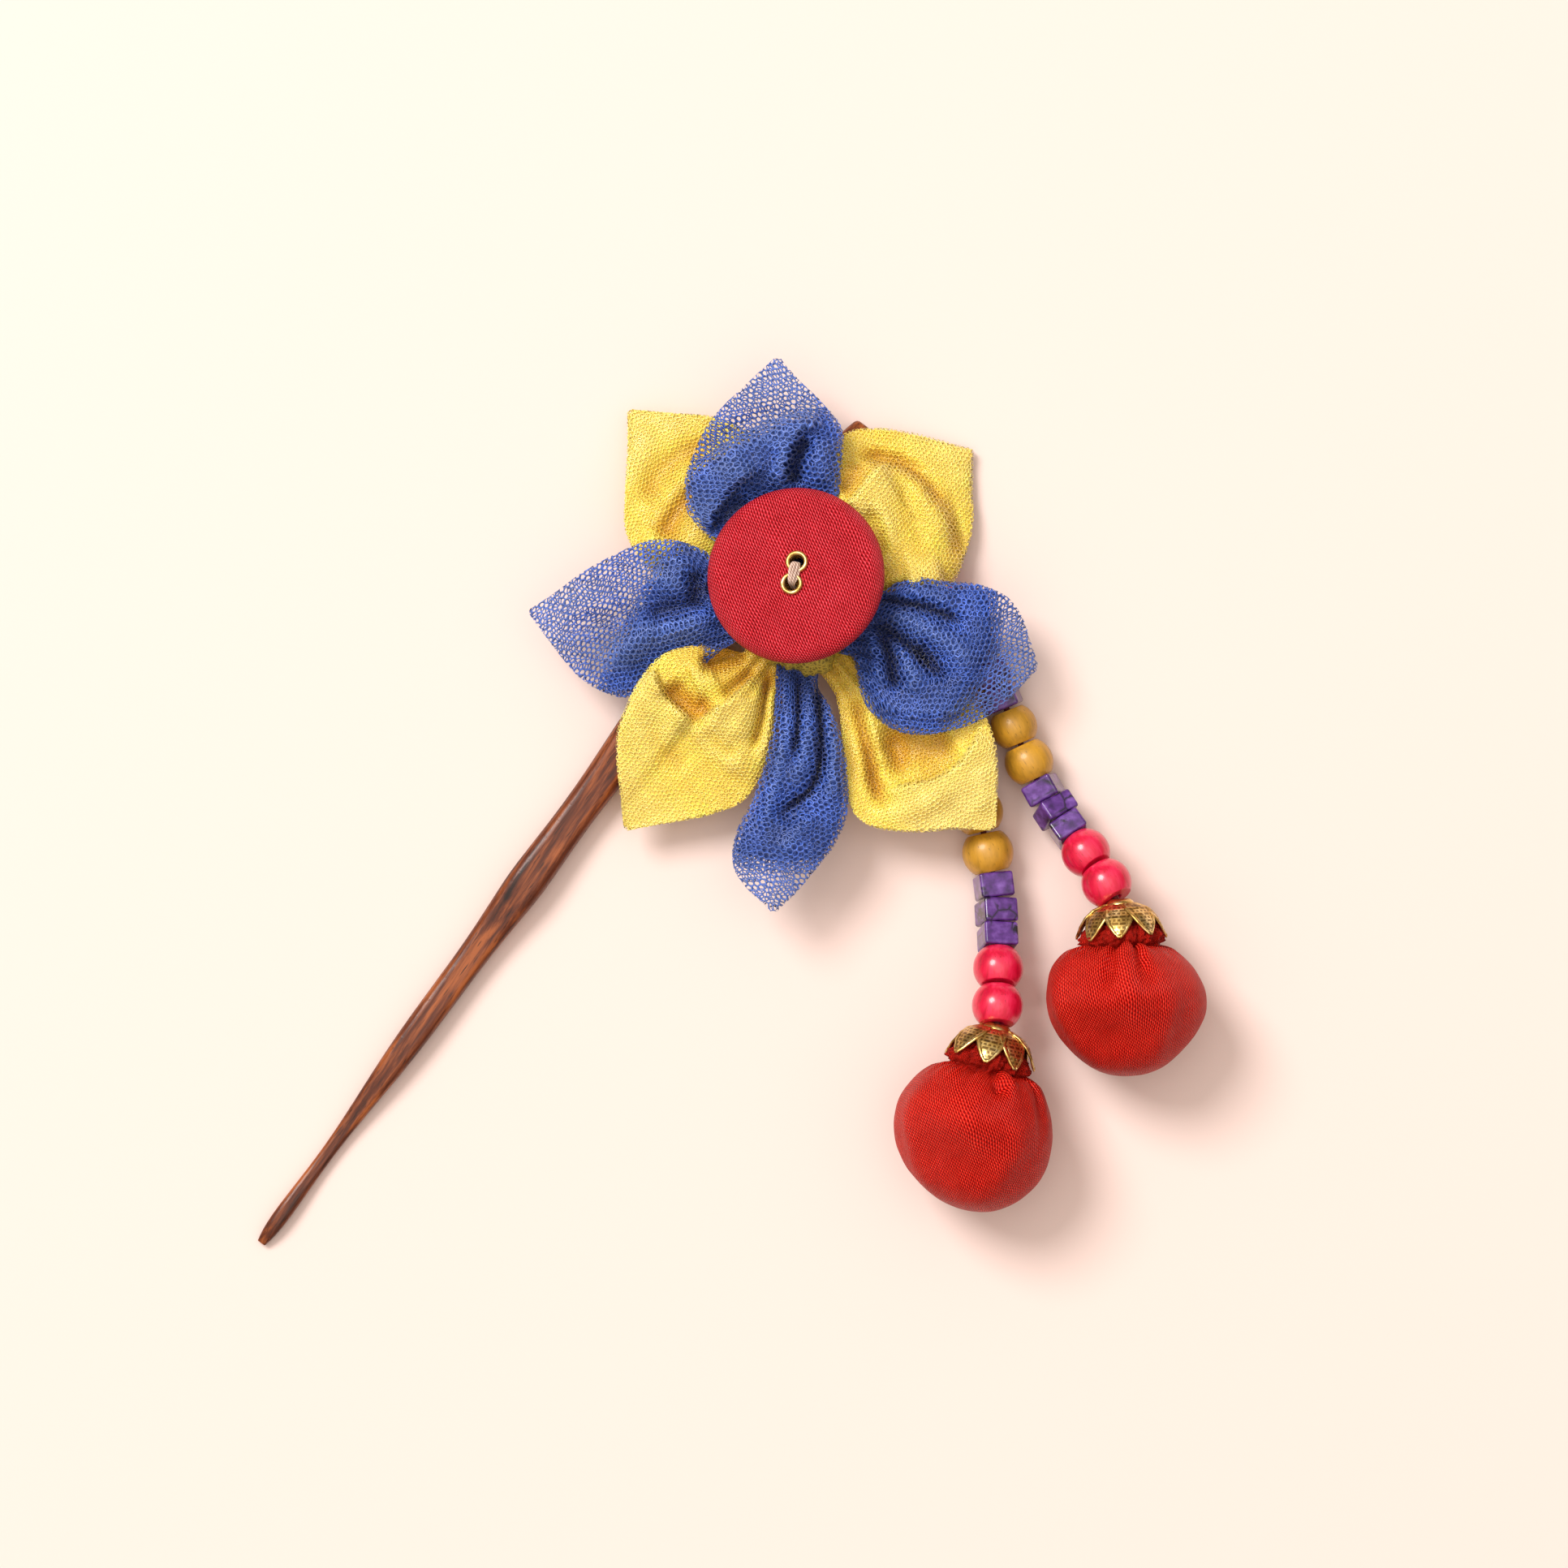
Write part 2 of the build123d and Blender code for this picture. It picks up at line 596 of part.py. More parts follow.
def strand_thread(strand):
    joints = strand_joints(strand)
    inside = joints[0] - ball_axis(strand) * (NECK_BELOW_CAP - CLEARANCE)
    end = Vector(*strand.end)
    path = Polyline(inside, *joints, end)
    start = Plane(origin=inside, z_dir=joints[0] - inside)
    return sweep(start * Circle(THREAD_RADIUS), path=path, transition=Transition.ROUND)


def ball(strand):
    """The stuffed ball, gathered into a neck that reaches up inside its cap."""
    axis = ball_axis(strand)
    side = Vector(axis.Y, -axis.X, 0).normalized()
    up = axis.cross(side).normalized()
    if up.Z < 0:
        up = up * -1
    centre = Vector(*strand.ball_centre)
    angles = [166, 150, 134, 118, 102, 88, 76, 65, 55, 45, 36, 28, 21]
    rings = []
    for angle in angles:
        polar = radians(angle)
        ring = []
        for j in range(BALL_AROUND):
            turn = 360 * j / BALL_AROUND
            radius = BALL_RADIUS * (1 - 0.1 * step((46 - angle) / 25))
            for pleat in BALL_PLEATS:
                off = abs((turn - pleat.angle + 180) % 360 - 180)
                fade = step((pleat.reach - angle) / 40)
                radius -= BALL_RADIUS * pleat.depth * fade * exp(-((off / pleat.width) ** 2) / 2)
            out = radius * sin(polar)
            along = radius * cos(polar) * strand.ball_length
            swing = side * cos(radians(turn)) + up * sin(radians(turn))
            ring.append(centre + axis * along + swing * out)
        rings.append(ring)
    neck_top = (Vector(*strand.start) - centre).length - NECK_BELOW_CAP
    for along, radius in ((neck_top - 1.3, NECK_RADIUS + 0.5), (neck_top, NECK_RADIUS)):
        ring = []
        for j in range(BALL_AROUND):
            turn = 2 * pi * j / BALL_AROUND
            swing = side * cos(turn) + up * sin(turn)
            ring.append(centre + axis * along + swing * radius)
        rings.append(ring)
    low_pole = centre - axis * BALL_RADIUS * strand.ball_length
    return ring_solid(low_pole, rings, centre + axis * neck_top)


def cap(strand):
    """A thin domed crown of six pointed leaves with a hole for the thread at its top."""
    outer = [(0.9, 0.0), (2.6, 0.15), (4.3, 0.9), (5.5, 2.1), (6.2, 3.5), (CAP_RADIUS, CAP_LENGTH)]
    inner = [(CAP_RADIUS - CAP_WALL, CAP_LENGTH), (5.75, 3.6), (5.1, 2.4), (4.05, 1.35), (2.5, 0.6), (0.9, 0.45)]
    shell = revolve(make_face(Polyline(*[(r, 0, z) for r, z in outer + inner], close=True)), Axis.Z)
    for leaf in range(CAP_LEAVES):
        notch = Polyline(
            (0, 0, CAP_LEAF_FROM),
            (0, 0.75, CAP_LEAF_FROM + 0.8),
            (0, 1.5, CAP_LEAF_FROM + 2.2),
            (0, 3.6, CAP_LENGTH + 0.1),
            (0, 3.6, CAP_LENGTH + 1),
            (0, -3.6, CAP_LENGTH + 1),
            (0, -3.6, CAP_LENGTH + 0.1),
            (0, -1.5, CAP_LEAF_FROM + 2.2),
            (0, -0.75, CAP_LEAF_FROM + 0.8),
            close=True,
        )
        wedge = extrude(make_face(notch), amount=10, dir=(1, 0, 0))
        shell -= Rot(0, 0, 360 * (leaf + 0.5) / CAP_LEAVES) * wedge
    axis = ball_axis(strand)
    side = Vector(axis.Y, -axis.X, 0).normalized()
    plane = Plane(origin=strand.start, x_dir=side, z_dir=-axis)
    return plane.location * shell


def build():
    parts = {"stick": stick(), "flower_core": flower_core(), "button": button()}
    for name, place in zip(("button_eyelet_upper", "button_eyelet_lower"), eyelet_places()):
        parts[name] = eyelet(place)
    parts["button_thread"] = button_thread()
    for name, petal in PETALS.items():
        parts[name] = cloth_solid(*petal_surfaces(petal))
    for strand in (INNER, OUTER):
        parts.update(strand_beads(strand))
        parts[strand.name + "_thread"] = strand_thread(strand)
        parts[strand.name + "_cap"] = cap(strand)
        parts[strand.name + "_ball"] = ball(strand)
    return parts


parts = build()
boxes = [part.bounding_box() for part in parts.values()]
low = [min(getattr(box.min, axis) for box in boxes) for axis in "XYZ"]
high = [max(getattr(box.max, axis) for box in boxes) for axis in "XYZ"]
shift = (-(low[0] + high[0]) / 2, -(low[1] + high[1]) / 2, -low[2])
os.makedirs("parts", exist_ok=True)
for name, part in parts.items():
    export_step(Pos(*shift) * part, "parts/" + name + ".step")
print("shift", [round(value, 3) for value in shift])
print("size", [round(b - a, 2) for a, b in zip(low, high)])
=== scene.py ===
import json
from collections import namedtuple
from math import cos, pi, radians, sin, sqrt

import bmesh
import bpy
import numpy as np
from mathutils import Matrix, Vector, noise

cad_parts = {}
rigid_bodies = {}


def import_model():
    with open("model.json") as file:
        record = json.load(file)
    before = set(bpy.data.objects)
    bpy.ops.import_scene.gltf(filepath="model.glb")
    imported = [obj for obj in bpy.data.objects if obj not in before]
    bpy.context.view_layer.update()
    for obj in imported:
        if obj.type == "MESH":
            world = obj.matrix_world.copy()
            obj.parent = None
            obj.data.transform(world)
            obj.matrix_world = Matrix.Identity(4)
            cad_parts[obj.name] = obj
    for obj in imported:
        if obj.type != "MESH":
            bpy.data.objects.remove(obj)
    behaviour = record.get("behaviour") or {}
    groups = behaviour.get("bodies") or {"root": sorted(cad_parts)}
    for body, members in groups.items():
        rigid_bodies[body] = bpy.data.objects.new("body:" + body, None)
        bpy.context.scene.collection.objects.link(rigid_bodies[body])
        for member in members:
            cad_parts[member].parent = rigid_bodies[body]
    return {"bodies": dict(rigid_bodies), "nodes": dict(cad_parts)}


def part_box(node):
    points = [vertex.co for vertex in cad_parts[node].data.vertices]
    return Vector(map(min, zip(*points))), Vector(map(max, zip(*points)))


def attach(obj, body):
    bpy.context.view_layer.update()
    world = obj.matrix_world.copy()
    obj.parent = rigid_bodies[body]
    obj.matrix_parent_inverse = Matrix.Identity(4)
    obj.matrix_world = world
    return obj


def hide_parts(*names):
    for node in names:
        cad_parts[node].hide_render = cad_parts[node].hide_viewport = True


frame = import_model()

bl_info = {
    "name": "Net Flower Hair Stick",
    "version": (1, 0, 0),
    "blender": (4, 5, 0),
    "location": "View3D > Sidebar > Hair Stick",
    "description": "A wooden hair stick with a net flower, a covered button and two beaded tassels",
    "category": "Add Mesh",
}

# Places in the tables are in mm from the middle of the picture on the surface, as in the part's source.
MM = 0.001
ORIGIN = Vector((8.511, 3.118, 0.0))
BODY = next(iter(frame["bodies"]))
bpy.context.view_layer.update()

Bulge = namedtuple("Bulge", "height start left middle right drop")
Rise = namedtuple("Rise", "base belly tip lean edge")
Crease = namedtuple("Crease", "height width lip points")
Petal = namedtuple("Petal", "base rise bulge outline creases")
Layer = namedtuple("Layer", "side turn lift stretch")
Pleat = namedtuple("Pleat", "angle depth width reach")
Dent = namedtuple("Dent", "angle polar depth wide long")

CORE_FOOT = Vector((2.4, 25.9, 6.4))
STICK_ENDS = ((-83.6, -73.4), (12.8, 57.5))
BUTTON_FACE = Vector((1.6, 33.1, 21.8))
BUTTON_LEAN = 11.5
BUTTON_LEAN_TOWARDS = 128.0
BUTTON_RADIUS = 14.0
EYELET_APART = 3.56
EYELET_TURN = 76.4

# A crease is drawn on the surface's axes: a ridge or valley along its points, or, with a lip, a rim that
# stands up on the left of the line and sinks away over that distance.
PETALS = {
    "petal_yellow_upper_left": Petal(
        (-3.6, 33.5, 129.0),
        Rise(9.2, 7.4, 3.6, 0.08, 0.6),
        Bulge(2.4, 5.0, 15.0, 19.5, 18.0, 4.5),
        [(0, 3.6, -3.4), (3, 8, -6), (8, 12.5, -9.5), (14, 13.5, -12), (19, 12.5, -12.5), (24, 8.5, -10),
         (29, 4, -5), (33.5, 0.4, -0.4)],
        [
            Crease(-1.7, 1.5, 0, [
                (-10.5, 54.5), (-13.8, 53.2), (-16.5, 52), (-18.8, 50.2), (-20.6, 47.6), (-21.6, 44),
            ]),
            Crease(0.9, 1.6, 0, [(-12.5, 50.5), (-15.5, 49.5), (-18, 47.2), (-20, 44.2), (-21.3, 41)]),
            Crease(-2.8, 1.7, 0, [(-12, 47), (-15.3, 45.8), (-17, 43.4), (-18.3, 41), (-20, 38.5)]),
            Crease(0.5, 1.2, 0, [(-21.6, 57.5), (-23, 52), (-23.3, 46)]),
        ],
    ),
    "petal_yellow_upper_right": Petal(
        (9.3, 32.7, 45.0),
        Rise(9.8, 7.2, 2.4, 0.06, -1.7),
        Bulge(3.8, 0.0, 8.0, 20.5, 15.5, 4.5),
        [(0, 3.4, -3.4), (3, 7, -8), (7, 11.5, -12), (12, 15.5, -13), (17, 16, -11), (21, 13, -8.5),
         (25, 7.8, -4.5), (29.3, 0.4, -0.4)],
        [
            Crease(-2.3, 0.9, 0, [
                (11.5, 52.2), (15, 52.1), (18.3, 51.4), (20.6, 50), (23, 47.6), (25.2, 44.6),
            ]),
            Crease(-1.5, 0.9, 0, [(23, 47.6), (25.2, 44.6), (26.8, 41.5), (27.5, 38.5), (27.4, 35.5)]),
            Crease(3.4, 0.6, 5.0, [(16.8, 51.2), (14.8, 50.3), (13.2, 48.6), (11.6, 46.4), (9, 43.4)]),
            Crease(-2.0, 1.3, 0, [(12.2, 51.4), (11.2, 48.8), (8.8, 46)]),
            Crease(0.9, 0.9, 0, [(14, 44.6), (16, 42.4), (16.6, 39.6), (16.9, 36)]),
            Crease(-1.6, 0.9, 0, [(12.6, 43.4), (14, 42), (15.2, 39.6), (15.6, 36)]),
            Crease(0.8, 1.1, 0, [(20, 48.6), (22.6, 45.2), (24.6, 41.8), (26, 38.6)]),
            Crease(-0.7, 1.0, 0, [(18.6, 48.6), (19.4, 44.6), (20.8, 40.4), (22.4, 37)]),
            Crease(3.4, 2.6, 0, [(19, 30.6), (22.5, 30.8), (26, 31.8)]),
        ],
    ),
    "petal_yellow_lower_left": Petal(
        (-3.7, 18.5, -130.0),
        Rise(9.2, 9.4, 7.4, -0.18, 0.6),
        Bulge(1.6, 0.0, 15.0, 14.0, 13.0, 4.5),
        [(0, 3.4, -3.6), (3, 6.5, -9), (8, 9.5, -13), (13, 11, -13.5), (18, 11.5, -12.5), (23, 9, -10.5),
         (28, 5, -6), (33.5, 0.4, -0.4)],
        [
            Crease(4.0, 0.8, 7.0, [(-14, 9.9), (-16.4, 11.8), (-18.6, 13.9), (-20, 16.2), (-20.4, 18.6)]),
            Crease(3.6, 0.8, 6.0, [(-4.4, 17.6), (-7, 14.9), (-9.6, 12.8), (-12, 11.3), (-14.4, 9.7)]),
            Crease(-3.0, 1.5, 0, [(-18.6, 16.2), (-17, 13.8), (-14.4, 11.6), (-11, 12.9)]),
            Crease(1.3, 2.2, 0, [(-11, 18), (-14.6, 16.2)]),
            Crease(-3.4, 1.0, 0, [(-13.6, 19), (-10.6, 19.3), (-8.4, 20.1), (-6, 21)]),
            Crease(-1.4, 0.7, 0, [(-10, 14), (-7, 16), (-4.6, 18.2)]),
            Crease(1.2, 0.9, 0, [(-18.4, 12.6), (-14.6, 9.2), (-11.6, 5.4), (-8.6, 2.8), (-6, 2)]),
            Crease(-0.8, 1.0, 0, [(-12.4, 8.8), (-10.2, 5.8), (-7.4, 4.2)]),
            Crease(-2.6, 0.5, 0, [(-2.2, 18.6), (-2.9, 15), (-3.5, 11), (-4.4, 7.6), (-5, 5.4)]),
            Crease(1.0, 0.7, 0, [(-1.7, 16.5), (-1.9, 11.5), (-2.6, 7), (-4, 2.4)]),
            Crease(0.7, 1.0, 0, [(-5.8, 14.5), (-6.6, 10.6), (-7.6, 7)]),
            Crease(-0.8, 1.2, 0, [(-21, 12), (-19.4, 6), (-15, 1.6)]),
        ],
    ),
    "petal_yellow_lower_right": Petal(
        (9.1, 18.9, -47.0),
        Rise(9.2, 10.4, 9.8, -0.02, 0.9),
        Bulge(1.0, 0.0, 16.0, 12.0, 18.0, 5.0),
        [(0, 3.4, -3.4), (3, 6.5, -4), (8, 9.5, -7.5), (13, 10.5, -11.5), (18, 11, -14.5), (22, 11, -14),
         (27, 8.5, -10), (31, 5, -5), (35.5, 0.4, -0.4)],
        [
            Crease(-3.0, 0.8, 0, [
                (11.2, 14), (12, 10.4), (12.9, 7), (13.6, 3.8), (14.1, 0.8), (15, -1.6), (17, -3),
            ]),
            Crease(1.5, 0.9, 0, [(12.4, 12), (13.8, 8.4), (14.9, 5.2), (16, 2.4)]),
            Crease(-2.2, 2.6, 0, [(18, 9), (19.6, 6), (23, 5.4), (27, 7.4)]),
            Crease(-1.6, 1.2, 0, [(16.6, 10), (17.4, 6), (18.4, 3), (20, 2.2)]),
            Crease(3.6, 0.9, 7.0, [
                (31.2, 10), (29.8, 6.4), (27.8, 3.5), (25.4, 1.7), (22.6, 0.5), (19, -0.1), (15.4, -1.2),
            ]),
            Crease(0.9, 1.3, 0, [(13, -4.6), (17, -4.9), (22, -3.6), (27, -0.6)]),
            Crease(-0.8, 0.8, 0, [(9.4, 13), (10.6, 8), (11.2, 3), (11.8, -1)]),
            Crease(0.8, 0.8, 0, [(10.9, 12.6), (11.9, 6.4), (12.7, 1), (13.8, -3)]),
            Crease(0.6, 1.0, 0, [(31, 3), (31.8, -2), (31.6, -5)]),
        ],
    ),
    "petal_blue_top": Petal(
        (1.7, 35.4, 95.0),
        Rise(11.8, 11.8, 13.0, 0.07, 0.3),
        Bulge(3.6, 8.5, 14.5, 20.5, 22.0, 4.0),
        [(0, 3, -3.6), (3, 10.5, -5.5), (8, 15.5, -7.5), (14, 16, -8.5), (20, 13.5, -9), (24.5, 10, -6.5),
         (28.5, 5, -3), (32, 0.4, -0.4)],
        [
            Crease(3.0, 0.7, 5.0, [(-11.9, 39.6), (-10.6, 43), (-8.6, 46), (-6.4, 47.9), (-4, 49.2)]),
            Crease(-1.5, 1.5, 0, [(-10.6, 40), (-8.6, 43.4), (-5.6, 45.8)]),
            Crease(2.6, 0.7, 4.0, [(0.2, 46.6), (0.3, 50), (1.2, 53.4), (3, 55.8), (6.4, 57)]),
            Crease(-3.2, 0.9, 0, [(1.4, 47), (1.8, 50.4), (2.6, 53), (4.2, 55)]),
            Crease(1.2, 1.2, 0, [(6, 47), (5.8, 51), (6.2, 55)]),
            Crease(1.5, 1.2, 0, [(-11.2, 51.6), (-7.6, 53.6), (-4.2, 55.5), (-0.6, 57), (3.4, 58)]),
            Crease(-1.0, 0.9, 0, [(-4, 47.4), (-2.6, 50), (-1.4, 53)]),
            Crease(-1.2, 0.9, 0, [(-12.8, 53.4), (-9, 55.6), (-5.6, 57.4), (-2, 58.8), (4, 60.2)]),
        ],
    ),
    "petal_blue_left": Petal(
        (-7.2, 26.1, 178.0),
        Rise(11.4, 10.9, 10.4, -0.18, 0.0),
        Bulge(0.8, 0.0, 20.0, 16.0, 8.0, 5.0),
        [(0, 3.3, -3.3), (3, 5, -8), (8, 10, -11.5), (14, 12.5, -12), (20, 12.5, -9.5), (25, 10, -6.5),
         (29.5, 5, -3), (33.2, 0.4, -0.4)],
        [
            Crease(3.2, 1.8, 0, [
                (-10, 26.4), (-15, 25.6), (-20, 24.4), (-24, 22.4), (-28, 19.6), (-30, 17.4),
            ]),
            Crease(-3.0, 1.3, 0, [(-12, 29.6), (-15.4, 28), (-19.4, 27.2), (-22, 26)]),
            Crease(-2.2, 1.2, 0, [(-10.5, 30.6), (-13.6, 31), (-14.4, 34)]),
            Crease(1.1, 1.4, 0, [(-15, 31.4), (-18.4, 31.6), (-22, 32.6)]),
            Crease(1.4, 0.8, 3.0, [(-13.6, 35.4), (-19, 36), (-22.6, 35.2), (-23.4, 31.6)]),
            Crease(-0.9, 1.3, 0, [(-24, 27), (-29, 26), (-34, 25.6)]),
            Crease(0.7, 1.6, 0, [(-26, 30.6), (-31, 30), (-36, 28.6)]),
        ],
    ),
    "petal_blue_bottom": Petal(
        (1.6, 16.2, -95.0),
        Rise(11.8, 13.4, 14.6, 0.0, -0.4),
        Bulge(1.2, 0.0, 27.0, 28.0, 27.0, 6.0),
        [(0, 3.4, -3), (3, 5.5, -2.6), (8, 8, -2.6), (14, 9.5, -3.5), (20, 10, -5), (25, 8.5, -7),
         (30, 5.5, -7), (33.5, 3, -4.3), (36.4, 0.4, -0.4)],
        [
            Crease(1.2, 0.9, 0, [(0.9, 18), (0.8, 13), (0.2, 8), (-0.8, 3), (-2, -2), (-3.4, -8)]),
            Crease(1.4, 0.9, 0, [(3.8, 16), (3.8, 12), (3.6, 7), (2.8, 3), (0.8, -0.6)]),
            Crease(1.3, 0.9, 0, [(6.8, 14.6), (7.4, 10), (7.8, 5), (7.8, 0), (6.6, -4)]),
            Crease(-2.6, 0.42, 0, [(2.2, 18), (2.25, 13), (2.2, 9), (1.8, 5.6), (1.2, 4)]),
            Crease(-3.0, 0.5, 0, [
                (5, 17), (5.5, 12.6), (5.9, 8.4), (5.9, 4.4), (5.2, 1), (3.8, -1.4), (1.6, -3), (-0.6, -4.8),
            ]),
            Crease(-1.2, 1.4, 0, [(3.2, -2), (1, -3.8), (-1, -6)]),
            Crease(0.8, 1.0, 0, [(4.4, -4.6), (2, -7.6), (0, -11)]),
        ],
    ),
    "petal_blue_right": Petal(
        (11.9, 23.9, -11.0),
        Rise(11.8, 13.2, 11.8, 0.0, -0.3),
        Bulge(1.8, 0.0, 18.0, 20.0, 14.0, 5.0),
        [(0, 3.3, -3.8), (2.5, 7, -9.5), (7, 10, -13.5), (12, 10.5, -14), (17, 11, -12.5), (22, 10, -9.5),
         (25.5, 6.5, -5.5), (28.7, 0.4, -0.4)],
        [
            Crease(-2.8, 0.6, 0, [(14.6, 29.2), (18, 28.8), (22, 28.1), (25.4, 26.8), (28.6, 25.2)]),
            Crease(1.0, 1.2, 0, [(16, 30.6), (21, 30.3), (27, 29)]),
            Crease(1.9, 1.2, 0, [(14.6, 27.6), (19, 26.2), (23, 24), (27, 21.4), (30, 18)]),
            Crease(-3.2, 0.7, 0, [
                (13.4, 25.4), (16, 24.5), (18.6, 22.6), (21.2, 20.8), (23.4, 18.8), (26, 16.4),
            ]),
            Crease(-1.6, 1.3, 0, [(20.6, 21.4), (22.6, 20.4), (23.6, 18.6)]),
            Crease(1.5, 1.0, 0, [(15.6, 23.6), (18.8, 20.6), (20.4, 17.4), (20.6, 14)]),
            Crease(-3.2, 0.8, 0, [(14.8, 24.4), (16.2, 21.8), (16.9, 19.4), (17.1, 16.8), (18.2, 14.6)]),
            Crease(1.5, 0.9, 0, [(13.4, 24), (14.7, 21), (15.1, 17.8), (16, 14.8)]),
            Crease(1.0, 1.2, 0, [(11, 20.4), (12.4, 17.6), (13.2, 14.6)]),
            Crease(1.2, 0.7, 3.5, [
                (12.6, 13.4), (16, 11.7), (20, 10.7), (24, 10.6), (28, 11.4), (31.4, 12.8), (34, 15),
            ]),
        ],
    ),
}
BLUE_LAYERS = [
    Layer("front", 12, 0.34, 0.92),
    Layer("front", -35, 0.05, 0.9),
    Layer("back", 41, 0.1, 1.22),
    Layer("far", -10, -0.2, 0.85),
]
YELLOW_LAYERS = [Layer("whole", 8, 0.07, 0.94), Layer("whole", 37, -0.06, 1.1)]

# The two stuffed balls: their middles, the tops of their caps, their lengths along the axis and their
# silhouettes from above as (degrees, share of the radius).
Tassel = namedtuple("Tassel", "start centre silhouette pleats dents")
TASSELS = {
    "inner": Tassel(
        Vector((33.6, -38.9, 12.75)),
        Vector((29.6, -55.1, 13.0)),
        [(12, 0.98), (41, 1.0), (76, 1.0), (119, 0.97), (150, 0.965), (180, 0.98), (198, 0.95), (226, 0.875),
         (258, 0.92), (279, 0.99), (316, 1.055), (332, 1.05), (351, 0.99)],
        [
            Pleat(26, 0.06, 4, 92),
            Pleat(52, 0.06, 7, 74),
            Pleat(84, 0.10, 6, 72),
            Pleat(112, 0.08, 9, 66),
            Pleat(140, 0.08, 12, 50),
            Pleat(190, 0.10, 14, 60),
            Pleat(238, 0.07, 12, 52),
            Pleat(280, 0.12, 13, 70),
            Pleat(325, 0.08, 12, 50),
        ],
        [
            Dent(76, 50, 0.16, 3.2, 4.5),
            Dent(62, 45, -0.06, 6, 11),
            Dent(90, 58, -0.03, 7, 9),
            Dent(36, 66, 0.03, 3, 14),
            Dent(98, 80, -0.09, 36, 9),
            Dent(98, 112, 0.15, 50, 16),
            Dent(142, 100, -0.07, 8, 26),
            Dent(58, 104, -0.06, 8, 24),
        ],
    ),
    "outer": Tassel(
        Vector((53.2, -19.2, 12.4)),
        Vector((54.2, -35.2, 13.0)),
        [(3, 0.995), (27, 0.94), (51, 0.91), (90, 0.93), (126, 0.955), (145, 1.06), (159, 1.01), (185, 0.97),
         (211, 0.93), (240, 0.86), (272, 0.845), (318, 0.86), (342, 0.955)],
        [
            Pleat(15, 0.10, 13, 62),
            Pleat(50, 0.07, 9, 60),
            Pleat(76, 0.09, 3.5, 88),
            Pleat(104, 0.12, 4, 96),
            Pleat(122, 0.05, 6, 60),
            Pleat(140, 0.08, 12, 50),
            Pleat(190, 0.10, 14, 60),
            Pleat(238, 0.07, 12, 52),
            Pleat(280, 0.12, 13, 70),
            Pleat(325, 0.08, 12, 50),
        ],
        [
            Dent(89, 48, -0.05, 8, 20),
            Dent(104, 66, 0.05, 2.5, 9),
            Dent(76, 60, 0.04, 2.5, 8),
            Dent(100, 82, -0.09, 36, 9),
            Dent(98, 112, 0.15, 50, 16),
            Dent(146, 96, -0.08, 8, 24),
            Dent(62, 104, -0.06, 8, 24),
        ],
    ),
}
BALL_RADIUS = 13.0
BALL_TWILL_TURNS = {"inner": -28, "outer": -36}
CAP_LEAVES = 8
SEWING_THREADS = 9
# How the net is drawn together at the pad, and how thick its packed layers and its strands' ridges are.
GATHER_DEPTH = 0.55
GATHER_PITCH = 4.3
STITCHED_END = -3.2
LINING_THICKNESS = 0.12
RIDGE_SHARE = 0.42
LIT_PLACE = Vector((0.006, 0.0, 0.0))
LIGHT_DISTANCE = 2.5
FILL_SHARE = 0.25


def soft_step(value):
    value = np.clip(value, 0.0, 1.0)
    return value * value * (3 - 2 * value)


def reading(rows, along, column):
    """A column of the rows at places along them, through smooth cubic pieces."""
    places = np.array([row[0] for row in rows], float)
    values = np.array([row[column] for row in rows], float)
    slopes = np.gradient(values, places)
    slopes[1:-1] = (values[2:] - values[:-2]) / (places[2:] - places[:-2])
    at = np.searchsorted(places[1:-1], along, side="left")
    span = places[at + 1] - places[at]
    t = np.clip((along - places[at]) / span, 0, 1)
    straight = values[at] + (values[at + 1] - values[at]) * t
    rise = (2 * t**3 - 3 * t**2 + 1) * values[at] + (3 * t**2 - 2 * t**3) * values[at + 1]
    rise += span * ((t**3 - 2 * t**2 + t) * slopes[at] + (t**3 - t**2) * slopes[at + 1])
    return np.where(at == len(rows) - 2, straight, rise)


def through_three(first, middle, last, t):
    return first * (2 * t - 1) * (t - 1) + middle * 4 * t * (1 - t) + last * t * (2 * t - 1)


def edges_of(petal, along):
    return reading(petal.outline, along, 1), reading(petal.outline, along, 2)


def share_across(petal, along, across):
    left, right = edges_of(petal, along)
    return np.clip((across - right) / np.maximum(left - right, 0.5), 0, 1)


def reach_at(petal, t):
    """How far along a petal its bulge reaches, at a share of the way across it."""
    bulge = petal.bulge
    return through_three(bulge.right, bulge.middle, bulge.left, t)


def on_page(petal, along, across):
    base_x, base_y, heading = petal.base
    turn = radians(heading)
    x = base_x + along * cos(turn) - across * sin(turn)
    y = base_y + along * sin(turn) + across * cos(turn)
    return x, y


